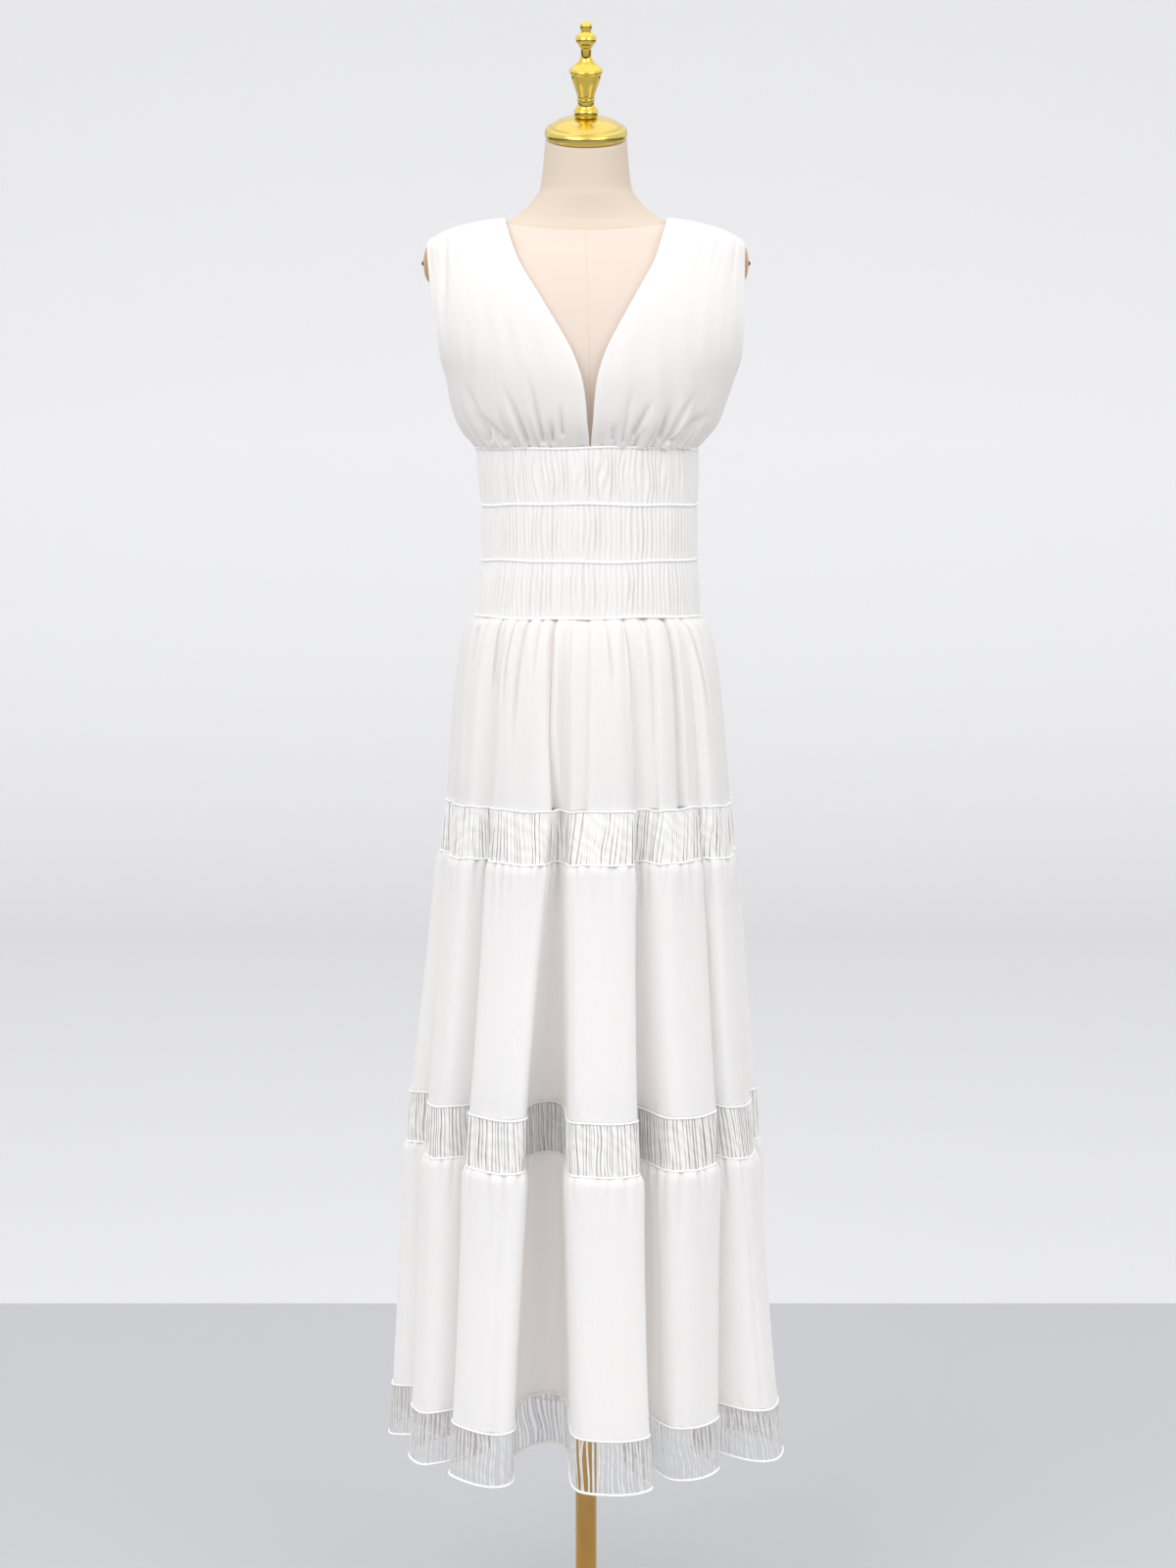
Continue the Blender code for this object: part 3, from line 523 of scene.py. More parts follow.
@dataclass(frozen=True)
class Jersey:
    """Cotton jersey stretched over a moulded form, in two tones parted by a neck seam."""

    name: str = "cotton_jersey"
    chest: str = "D8C9BD"
    neck: str = "CFBFAE"
    seam: str = "D2B49A"
    # Wales, the knit's ribs, are 1.1 mm apart. They are drawn 2.2 mm apart so that they show: a wave
    # texture's bands are 0.314 m apart at scale 1, and half of that gives each band two wales.
    wale: float = 0.0011
    band: float = 0.157
    # How much a wale stands out, beside a loop.
    wale_height: float = 0.5
    # The neck seam's height at the middle, and how it rises with the square of X.
    neck_seam_z: float = 1.615
    neck_seam_curve: float = 1.08
    seam_width: float = 0.0009
    # Half the width over which the two tones blend at the neck seam.
    blend: float = 0.0005
    # The centre-front seam's X as a slope with height and a start: it drifts 4 mm toward +X on its
    # way down the chest.
    drift: tuple = (0.0276, -0.0445)
    # How far the stitching pulls the knit in, beside a loop, and how much it darkens it.
    seam_dip: float = -6.0
    seam_shade: float = 0.35

    def make(self) -> bpy.types.Material:
        """Return the material: a matt skin with fine wales, a neck seam and a centre-front seam."""
        material, tree, place = start_material(self.name)
        axes = add_node(tree, "ShaderNodeSeparateXYZ", links={0: place})
        squared = add_node(
            tree, "ShaderNodeMath", {"operation": "MULTIPLY"}, {0: axes.outputs[0], 1: axes.outputs[0]}
        )
        arc = add_node(
            tree, "ShaderNodeMath",
            {"operation": "MULTIPLY_ADD", 1: self.neck_seam_curve, 2: self.neck_seam_z},
            {0: squared.outputs[0]},
        )
        above = add_node(
            tree, "ShaderNodeMath", {"operation": "SUBTRACT"}, {0: axes.outputs[2], 1: arc.outputs[0]}
        )
        neck = add_node(
            tree, "ShaderNodeMapRange", {"From Min": -self.blend, "From Max": self.blend},
            {"Value": above.outputs[0]},
        )
        nearest = [add_node(tree, "ShaderNodeMath", {"operation": "ABSOLUTE"}, {0: above.outputs[0]})]
        slope, start = self.drift
        drift = add_node(
            tree, "ShaderNodeMath", {"operation": "MULTIPLY_ADD", 1: slope, 2: start}, {0: axes.outputs[2]}
        )
        centre = add_node(
            tree, "ShaderNodeMath", {"operation": "ADD"}, {0: axes.outputs[0], 1: drift.outputs[0]}
        )
        nearest.append(add_node(tree, "ShaderNodeMath", {"operation": "ABSOLUTE"}, {0: centre.outputs[0]}))
        seams = [
            add_node(
                tree, "ShaderNodeMapRange",
                {"From Min": 0.0, "From Max": self.seam_width, "To Min": 1.0, "To Max": 0.0},
                {"Value": distance.outputs[0]},
            )
            for distance in nearest
        ]
        # The centre-front seam stops at the neck seam.
        chest = add_node(
            tree, "ShaderNodeMapRange", {"From Min": self.blend, "From Max": -self.blend},
            {"Value": above.outputs[0]},
        )
        below = add_node(
            tree, "ShaderNodeMath", {"operation": "MULTIPLY"},
            {0: seams[1].outputs[0], 1: chest.outputs[0]},
        )
        stitched = add_node(
            tree, "ShaderNodeMath", {"operation": "MAXIMUM"}, {0: seams[0].outputs[0], 1: below.outputs[0]}
        )
        wales = add_node(
            tree, "ShaderNodeTexWave",
            {"wave_type": "BANDS", "bands_direction": "X", "Scale": self.band / self.wale, "Distortion": 0.4},
            {"Vector": place},
        )
        loops = add_node(
            tree, "ShaderNodeTexNoise", {"Scale": 1 / self.wale, "Detail": 2.0}, {"Vector": place}
        )
        knit = add_node(
            tree, "ShaderNodeMath", {"operation": "MULTIPLY_ADD", 1: self.wale_height},
            {0: wales.outputs["Fac"], 2: loops.outputs["Fac"]},
        )
        dipped = add_node(
            tree, "ShaderNodeMath", {"operation": "MULTIPLY_ADD", 1: self.seam_dip},
            {0: stitched.outputs[0], 2: knit.outputs[0]},
        )
        relief = add_node(
            tree, "ShaderNodeBump", {"Strength": 0.25, "Distance": 0.00025}, {"Height": dipped.outputs[0]}
        )
        base = add_node(
            tree, "ShaderNodeMix", {"data_type": "RGBA", 6: linear(self.chest), 7: linear(self.neck)},
            {0: neck.outputs[0]},
        )
        dark = add_node(
            tree, "ShaderNodeMath", {"operation": "MULTIPLY", 1: self.seam_shade}, {0: stitched.outputs[0]}
        )
        tone = add_node(
            tree, "ShaderNodeMix", {"data_type": "RGBA", 7: linear(self.seam)},
            {0: dark.outputs[0], 6: base.outputs[2]},
        )
        skin = add_node(
            tree, "ShaderNodeBsdfPrincipled",
            {"Roughness": 0.82, "Specular IOR Level": 0.3, "Sheen Weight": 0.1},
            {"Base Color": tone.outputs[2], "Normal": relief.outputs["Normal"]},
        )
        add_node(tree, "ShaderNodeOutputMaterial", links={"Surface": skin.outputs[0]})
        return material


@dataclass(frozen=True)
class Metal:
    """A metal whose surface is polished, or brushed along one direction."""

    name: str
    colour: str
    roughness: float
    # The brush marks' scale along X, Y and Z: less than 1 draws them out that way.
    brushed: tuple = (1.0, 1.0, 1.0)
    # Brush marks are 0.9 mm apart, coarser than real ones, so that they show.
    scratch: float = 0.0009
    relief: float = 0.0
    # Finger smears are 17 mm across, 60 to a metre, and turn the gloss up and down by these shares.
    smears: float = 60.0
    least_gloss: float = 0.75
    most_gloss: float = 1.4

    def make(self) -> bpy.types.Material:
        """Return the material: handling marks break its gloss, and brushing its highlights."""
        material, tree, place = start_material(self.name)
        lay = add_node(tree, "ShaderNodeMapping", {"Scale": self.brushed}, {"Vector": place})
        marks = add_node(
            tree, "ShaderNodeTexNoise", {"Scale": 1 / self.scratch, "Detail": 4.0}, {"Vector": lay.outputs[0]}
        )
        smears = add_node(
            tree, "ShaderNodeTexNoise", {"Scale": self.smears, "Detail": 2.0}, {"Vector": place}
        )
        gloss = add_node(
            tree, "ShaderNodeMapRange",
            {"To Min": self.roughness * self.least_gloss, "To Max": self.roughness * self.most_gloss},
            {"Value": smears.outputs["Fac"]},
        )
        relief = add_node(
            tree, "ShaderNodeBump", {"Strength": self.relief, "Distance": 0.0001},
            {"Height": marks.outputs["Fac"]},
        )
        surface = add_node(
            tree, "ShaderNodeBsdfPrincipled", {"Base Color": linear(self.colour), "Metallic": 1.0},
            {"Roughness": gloss.outputs[0], "Normal": relief.outputs["Normal"]},
        )
        add_node(tree, "ShaderNodeOutputMaterial", links={"Surface": surface.outputs[0]})
        return material


@dataclass(frozen=True)
class Wood:
    """Beech turned into a thin plate and oiled: close grain with darker flecks."""

    name: str = "oiled_beech"
    pale: str = "D2AE80"
    dark: str = "A0713F"
    # Grain lines are 1.5 mm apart and drawn out along Z.
    grain: float = 0.0015
    grain_drawn: tuple = (1.0, 1.0, 0.12)

    def make(self) -> bpy.types.Material:
        """Return the material: fine upright grain under a satin oil."""
        material, tree, place = start_material(self.name)
        lay = add_node(tree, "ShaderNodeMapping", {"Scale": self.grain_drawn}, {"Vector": place})
        lines = add_node(
            tree, "ShaderNodeTexNoise", {"Scale": 1 / self.grain, "Detail": 3.0}, {"Vector": lay.outputs[0]}
        )
        tone = add_node(
            tree, "ShaderNodeMix", {"data_type": "RGBA", 6: linear(self.pale), 7: linear(self.dark)},
            {0: lines.outputs["Fac"]},
        )
        pores = add_node(
            tree, "ShaderNodeBump", {"Strength": 0.2, "Distance": 0.0002}, {"Height": lines.outputs["Fac"]}
        )
        surface = add_node(
            tree, "ShaderNodeBsdfPrincipled", {"Roughness": 0.42, "Coat Weight": 0.15, "Coat Roughness": 0.3},
            {"Base Color": tone.outputs[2], "Normal": pores.outputs["Normal"]},
        )
        add_node(tree, "ShaderNodeOutputMaterial", links={"Surface": surface.outputs[0]})
        return material


@dataclass(frozen=True)
class Paint:
    """Matt emulsion on a floor or a backdrop, which may be painted darker toward its foot as painted shade.
    """

    name: str
    foot: str
    colour: str
    # Height at which a backdrop that is painted darker at its foot, a painted shade, has reached its upper
    # colour.
    rise: float = 1.5
    # A roller's mottle is 330 mm across, 3 to a metre.
    mottle: float = 3.0

    def make(self) -> bpy.types.Material:
        """Return the material: matt, with the faint mottle of a roller, paler with height; the darker foot is
        painted shade.
        """
        material, tree, place = start_material(self.name)
        mottle = add_node(
            tree, "ShaderNodeTexNoise", {"Scale": self.mottle, "Detail": 2.0}, {"Vector": place}
        )
        dull = add_node(
            tree, "ShaderNodeMapRange", {"To Min": 0.8, "To Max": 0.9}, {"Value": mottle.outputs["Fac"]}
        )
        axes = add_node(tree, "ShaderNodeSeparateXYZ", links={0: place})
        risen = add_node(tree, "ShaderNodeMapRange", {"From Max": self.rise}, {"Value": axes.outputs[2]})
        # The foot colour is painted shade: the backdrop darkens toward the floor.
        tone = add_node(
            tree, "ShaderNodeMix", {"data_type": "RGBA", 6: linear(self.foot), 7: linear(self.colour)},
            {0: risen.outputs[0]},
        )
        surface = add_node(
            tree, "ShaderNodeBsdfPrincipled", {"Specular IOR Level": 0.2},
            {"Base Color": tone.outputs[2], "Roughness": dull.outputs[0]},
        )
        add_node(tree, "ShaderNodeOutputMaterial", links={"Surface": surface.outputs[0]})
        return material


# ---------------------------------------------------------------- skirt
class Rings(NamedTuple):
    """The skirt's plan at some heights: rows by columns."""

    spots: np.ndarray
    out: np.ndarray
    depth: np.ndarray
    run: np.ndarray
    angle: np.ndarray


@dataclass(frozen=True)
class FoldPlan:
    """The ten broad folds, read at any height and place around the skirt."""

    folds: tuple = FOLDS
    # The seams' slight waver: the height, the count round the skirt and the phase of each wave.
    waver: tuple = ((0.0007, 17, 1.0), (0.0005, 41, 2.2))

    @property
    def length(self) -> int:
        """Number of guide points around the skirt."""
        return GUIDES_PER_FOLD * len(self.folds)

    def places(self, steps: int) -> np.ndarray:
        """Return evenly spaced places once round the skirt, one more than the steps."""
        return SKIRT_START + np.arange(steps + 1) * self.length / steps

    def between(self, name: str, z: np.ndarray) -> np.ndarray:
        """Return one of the folds' sizes at some heights.

        Args:
            name: Its name, without the level at which the folds give it.
            z: Heights.

        Returns:
            Heights by folds.
        """
        low, middle, high = (
            np.array([getattr(fold, f"{name}_{level}") for fold in self.folds], float)
            for level in ("hip", "knee", "hem")
        )
        knee = np.clip((TIER_1_HEM_Z - z) / (TIER_1_HEM_Z - TIER_2_HEM_Z), 0, 1)[:, None]
        hem = np.clip((TIER_2_HEM_Z - z) / (TIER_2_HEM_Z - HEM_Z), 0, 1)[:, None]
        return low + (middle - low) * knee + (high - middle) * hem

    def guides(self, z: np.ndarray) -> np.ndarray:
        """Return the guide points at some heights.

        Args:
            z: Heights.

        Returns:
            Heights by guides by x, y and the depth in the fold.
        """
        angle, ridge, valley, tuck = (self.between(name, z) for name in ("angle", "ridge", "valley", "tuck"))
        half = np.array([[fold.half_angle for fold in self.folds]])
        before, next_ridge = np.roll(valley, 1, axis=1), np.roll(ridge, -1, axis=1)
        next_angle, next_half = np.roll(angle, -1, axis=1), np.roll(half, -1, axis=1)
        next_angle[:, -1] += 360.0
        start, end = angle + half, next_angle - next_half
        inset = (end - start) * FLANK_INSET
        rows = (
            (angle - half, before, ridge, SHOULDER_SHARE),
            (angle - half / 2, before, ridge, 1.0),
            (angle + half / 2, valley, ridge, 1.0),
            (start, valley, ridge, SHOULDER_SHARE),
            (start + inset - tuck, valley, ridge, FLANK_SHARE),
            ((start + end - tuck) / 2, valley, (ridge + next_ridge) / 2, FLOOR_SHARE),
            (end - inset, valley, next_ridge, FLANK_SHARE),
        )
        turn = np.stack([np.broadcast_to(row[0], ridge.shape) for row in rows], axis=2).reshape(len(z), -1)
        reach = np.stack([row[1] + (row[2] - row[1]) * row[3] for row in rows], axis=2).reshape(len(z), -1)
        depth = np.tile([1.0 - row[3] for row in rows], len(self.folds))[None]
        spread = np.clip((TIER_1_TOP_Z - z) / (TIER_1_TOP_Z - TIER_1_HEM_Z), 0, 1)[:, None] ** SPREAD_EASE
        side, ahead = np.sin(np.radians(turn)), np.cos(np.radians(turn))
        seam = BAND_SEAMS[-1]
        half_width = np.where(side > 0, seam.half_right, seam.half_left)
        waist = 1.0 / np.hypot(side / half_width, ahead / seam.half_depth)
        reach = waist + (reach - waist) * spread
        return np.stack((reach * side, -reach * ahead, depth * spread), axis=2)

    def rings(self, z: np.ndarray, u: np.ndarray) -> Rings:
        """Read the plan along a cubic B-spline through the guides.

        Args:
            z: Heights, one a row.
            u: Places around the skirt in guides, rows by columns.

        Returns:
            The rings, with the outward direction, the run along them and the polar angle.
        """
        guides = self.guides(z)
        start = np.floor(u).astype(int)
        t = u - start
        weights = (
            (1 - t) ** 3 / 6, (3 * t**3 - 6 * t**2 + 4) / 6,
            (-3 * t**3 + 3 * t**2 + 3 * t + 1) / 6, t**3 / 6,
        )
        slopes = (-((1 - t) ** 2) / 2, (9 * t**2 - 12 * t) / 6, (-9 * t**2 + 6 * t + 3) / 6, t**2 / 2)
        row = np.arange(len(z))[:, None]
        near = [guides[row, (start + k - 1) % self.length] for k in range(4)]
        point = sum(w[..., None] * g for w, g in zip(weights, near))
        slope = sum(w[..., None] * g for w, g in zip(slopes, near))
        size = np.hypot(slope[..., 0], slope[..., 1])
        out = np.stack((slope[..., 1] / size, -slope[..., 0] / size), axis=-1)
        steps = np.hypot(*np.moveaxis(np.diff(point[..., :2], axis=1), -1, 0))
        run = np.concatenate((np.zeros((len(z), 1)), np.cumsum(steps, axis=1)), axis=1)
        angle = np.degrees(np.unwrap(np.arctan2(point[..., 0], -point[..., 1]), axis=1))
        return Rings(point[..., :2], out, point[..., 2], run, angle)

    def lift(self, z: np.ndarray, u: np.ndarray, depth: np.ndarray) -> np.ndarray:
        """Return how far the cloth rises in the valleys, with the slight waver of its seams.

        Args:
            z: Heights, one a row.
            u: Places around the skirt.
            depth: How deep in a valley each point lies.

        Returns:
            Rows by columns, in metres.
        """
        rise = np.clip(HEM_RISE * (TIER_1_HEM_Z - z) / (TIER_1_HEM_Z - HEM_Z), 0, None)[:, None]
        drop = np.clip((TIER_1_TOP_Z - z) / (TIER_1_TOP_Z - TIER_1_HEM_Z), 0, 1)[:, None]
        turn = math.tau * u / self.length
        waver = sum(height * np.sin(count * turn + phase) for height, count, phase in self.waver)
        return rise * depth + waver * drop

    def placed(self, z: np.ndarray, u: np.ndarray, rings: Rings, move: np.ndarray) -> np.ndarray:
        """Return the points of a cloth that lies out from the plan.

        Args:
            z: Heights, one a row.
            u: Places around the skirt.
            rings: The plan there.
            move: How far out each point lies.

        Returns:
            Rows by columns by 3.
        """
        flat = rings.spots + rings.out * move[..., None]
        height = z[:, None] + self.lift(z, u, rings.depth)
        return np.concatenate((flat, height[..., None]), axis=2)


class Crease(NamedTuple):
    """A crease of a tier: polar angles at its ends, its shares of the height, depth and width in mm.

    Its -X side is as many times wider as trail says.
    """

    angle_top: float
    angle_foot: float
    start: float
    stop: float
    depth: float
    width: float
    trail: float = 1.0


class Pleat(NamedTuple):
    """A soft pleat that runs down a whole tier: its place in guides, depth and width in mm."""

    place: float
    depth: float
    width: float


@dataclass
class Cloth:
    """A tier's cloth while it is shaped: how far each point lies out from the skirt's plan."""

    rings: Rings
    u: np.ndarray
    move: np.ndarray

    def press(self, centre: np.ndarray, width: np.ndarray, depth: np.ndarray, trail: float = 1.0) -> None:
        """Push a trough into the cloth along a line.

        Args:
            centre: The line's run in each row.
            width: The trough's half width in each row.
            depth: Its depth in each row.
            trail: How many times wider its -X side is.
        """
        total = self.rings.run[:, -1:]
        gap = (self.rings.run - centre[:, None] + total / 2) % total - total / 2
        gap = np.where(gap < 0, gap / trail, gap)
        self.move = self.move - depth[:, None] * np.exp(-((gap / width[:, None]) ** 2))

    def run_at(self, place: float) -> np.ndarray:
        """Return the run at a place around the skirt in each row."""
        return np.array([np.interp(place, self.u[0], line) for line in self.rings.run])

    def run_toward(self, angle: np.ndarray) -> np.ndarray:
        """Return the run in each row at that row's polar angle.

        Args:
            angle: Degrees, one a row.

        Returns:
            One run a row.
        """
        low, high = self.rings.angle[:, 0], self.rings.angle[:, -1]
        angle = np.where(angle < low, angle + 360.0, np.where(angle > high, angle - 360.0, angle))
        lines = zip(angle, self.rings.angle, self.rings.run)
        return np.array([np.interp(at, line, run) for at, line, run in lines])

    def spread(self, count: int, row: int, rng: np.random.Generator) -> np.ndarray:
        """Return places that are spaced evenly along a row, but for chance.

        Args:
            count: How many.
            row: The row along whose run they are spaced.
            rng: Source of chance.

        Returns:
            Places around the skirt.
        """
        share = (np.arange(count) + rng.uniform(-0.36, 0.36, count)) / count % 1.0
        return np.interp(share * self.rings.run[row, -1], self.rings.run[row], self.u[row])


@dataclass(frozen=True)
class Tier:
    """A gathered tier of the skirt, cut as a front and a back panel."""

    number: int
    top_z: float
    hem_z: float
    cut: tuple
    gathers: int
    gather_depth: float
    gather_length: tuple
    # How far the cloth puffs out, as distances below the upper seam and reaches.
    puff: tuple
    creases: tuple = ()
    pleats: tuple = ()
    # How deep the gathers already are at the seam, from 0 to 1.
    pinch: float = 0.35
    # Least and greatest half width of a gather at the seam, and share of the gathers' depth.
    gather_width: tuple = (0.0016, 0.0030)
    gather_share: tuple = (0.45, 1.25)
    # The same for the gathers that rise from the hem, with their length and their ease in depth.
    hem_width: tuple = (0.003, 0.005)
    hem_share: tuple = (0.3, 1.0)
    hem_length: tuple = (0.012, 0.050)
    hem_ease: float = 0.4
    # Share of the puff that the valleys hold back.
    valley_hold: float = 0.35
    # Rows that turn in at the upper and the lower edge, each as its reach inward and its rise.
    tucked: tuple = ((0.0008, 0.0006), (0.0016, 0.0022))
    turned_up: tuple = ((0.0008, -0.0004), (0.0022, 0.0010), (0.0024, 0.0060))
    # Slight waves: their height, their number, and how often the longest and shortest go round.
    wave: float = 0.0007
    waves: int = 9
    wave_counts: tuple = (18, 62)
    rows: int = 46
    columns: int = 1080
    # How much closer together the rows stand near both seams.
    crowding: float = 0.11 / 1.2
    seed: int = 3

    def heights(self) -> np.ndarray:
        """Return the rows' heights, closer together near both seams."""
        share = np.linspace(0, 1, self.rows)
        share = share - self.crowding * np.sin(math.tau * share)
        return self.top_z - GAP / 2 + (self.hem_z + GAP / 2 - self.top_z + GAP / 2) * share

    def relief(self, z: np.ndarray, u: np.ndarray, rings: Rings) -> np.ndarray:
        """Return how far each point of the cloth lies out from the plan.

        Args:
            z: The rows' heights.
            u: Places around the skirt.
            rings: The plan there.

        Returns:
            Rows by columns, in metres.
        """
        rng = np.random.default_rng(self.seed)
        below = self.top_z - z
        share = below / (self.top_z - self.hem_z)
        puff = np.interp(below, *zip(*self.puff))[:, None] * np.ones_like(u)
        cloth = Cloth(rings, u, puff * (1.0 - self.valley_hold * np.clip(rings.depth, 0, 1)))
        self.add_waves(cloth, share[:, None], rng)
        self.add_gathers(cloth, below, rng)
        self.add_hem_gathers(cloth, z - self.hem_z, rng)
        for crease in self.creases:
            self.add_crease(cloth, share, crease)
        for pleat in self.pleats:
            width, depth = (size / 1000 * (0.6 + 0.4 * share) for size in (pleat.width, pleat.depth))
            cloth.press(cloth.run_at(pleat.place), width, depth * (0.5 + 0.5 * smooth_step(share * 4)))
        return cloth.move

    def add_waves(self, cloth: Cloth, down: np.ndarray, rng: np.random.Generator) -> None:
        """Add slight waves that fade out toward both seams.

        Args:
            cloth: The cloth to shape.
            down: Share of the way from the upper seam to the hem, as a column.
            rng: Source of chance.
        """
        turn = math.tau * cloth.u / FoldPlan().length
        soft = smooth_step(down * 6) * smooth_step((1 - down) * 9)
        for _ in range(self.waves):
            count = rng.integers(*self.wave_counts)
            phase, tilt = rng.uniform(0, math.tau, 2)
            size = rng.uniform(0.4, 1.0)
            lean = rng.uniform(-2.5, 2.5) * down
            swing = 0.7 + 0.3 * np.sin(4 * down + tilt)
            wave = self.wave * size / 2 * np.sin(count * turn + phase + lean)
            cloth.move = cloth.move + wave * soft * swing

    def add_gathers(self, cloth: Cloth, below: np.ndarray, rng: np.random.Generator) -> None:
        """Press in the gathers that run down from the upper seam, wider and shallower on their way.

        Args:
            cloth: The cloth to shape.
            below: Each row's distance below the upper seam.
            rng: Source of chance.
        """
        for place in cloth.spread(self.gathers, 0, rng):
            length = rng.uniform(*self.gather_length)
            strength = self.gather_depth * rng.uniform(*self.gather_share)
            width = rng.uniform(*self.gather_width) * (1 + 1.8 * np.clip(below / length, 0, 1))
            fade = np.clip(1 - below / length, 0, 1) ** 1.1 * smooth_step(below / 0.003 + self.pinch)
            slide = rng.uniform(-0.05, 0.05) * below
            cloth.press(cloth.run_at(place) + slide, width, strength * fade)

    def add_hem_gathers(self, cloth: Cloth, above: np.ndarray, rng: np.random.Generator) -> None:
        """Press in the short gathers that rise from the hem, half as many as at the upper seam.

        Args:
            cloth: The cloth to shape.
            above: Each row's distance above the hem.
            rng: Source of chance.
        """
        for place in cloth.spread(self.gathers // 2, -1, rng):
            length = rng.uniform(*self.hem_length)
            fade = np.clip(1 - above / length, 0, 1) ** 1.3 * smooth_step(above / 0.004 + 0.2)
            width = rng.uniform(*self.hem_width) * np.ones_like(above)
            depth = self.gather_depth * self.hem_ease * rng.uniform(*self.hem_share) * fade
            cloth.press(cloth.run_at(place), width, depth)

    def add_crease(self, cloth: Cloth, share: np.ndarray, crease: Crease) -> None:
        """Press in a crease, which fades out before its foot unless it runs down to the hem.

        Args:
            cloth: The cloth to shape.
            share: Each row's share of the way from the upper seam to the hem.
            crease: The crease.
        """
        along = np.clip((share - crease.start) / (crease.stop - crease.start), 0, 1)
        angle = crease.angle_top + (crease.angle_foot - crease.angle_top) * share
        begun = np.ones_like(share)
        if crease.start > 0:
            begun = smooth_step(share * 14 - crease.start * 14 + 0.4)
        fade = begun * (1 - smooth_step((along - 0.55) / 0.45) * (crease.stop < 1.0))
        width = crease.width / 1000 * (0.75 + 0.5 * share)
        depth = crease.depth / 1000 * fade * (share <= crease.stop + 0.01)
        cloth.press(cloth.run_toward(angle), width, depth, crease.trail)

    @staticmethod
    def turned(edge: np.ndarray, out: np.ndarray, steps: tuple) -> np.ndarray:
        """Return the rows that turn in from an edge of the cloth.

        Args:
            edge: The edge's points.
            out: X and Y of the outward direction at each.
            steps: Each row's reach inward and its rise.

        Returns:
            Rows by columns by 3.
        """
        out = np.concatenate((out, np.zeros((len(out), 1))), axis=1)
        return np.array([edge - out * reach + np.array((0.0, 0.0, rise)) for reach, rise in steps])

    def build(self, finish: bpy.types.Material) -> None:
        """Args:
            finish: The cloth's material.
        """
        plan = FoldPlan()
        z = self.heights()
        u = np.tile(plan.places(self.columns), (self.rows, 1))
        rings = plan.rings(z, u)
        points = plan.placed(z, u, rings, self.relief(z, u, rings))[:, :-1]
        tucked = self.turned(points[0], rings.out[0, :-1], self.tucked)
        turned_up = self.turned(points[-1], rings.out[-1, :-1], self.turned_up)
        points = np.concatenate((tucked[::-1], points, turned_up))
        for half in Half:
            first, last = (edge * self.columns // SEAM_PARTS for edge in half.value)
            chosen = np.arange(first, last + 1) % self.columns
            mould = Mould.empty()
            mould.add_grid(points[:, chosen])
            side = half.name.lower()
            name, node = f"tier_{self.number}_{side}_panel", f"skirt_tier_{self.number}_{side}"
            piece = mould.cast(name, finish, "white_crepe", [node])


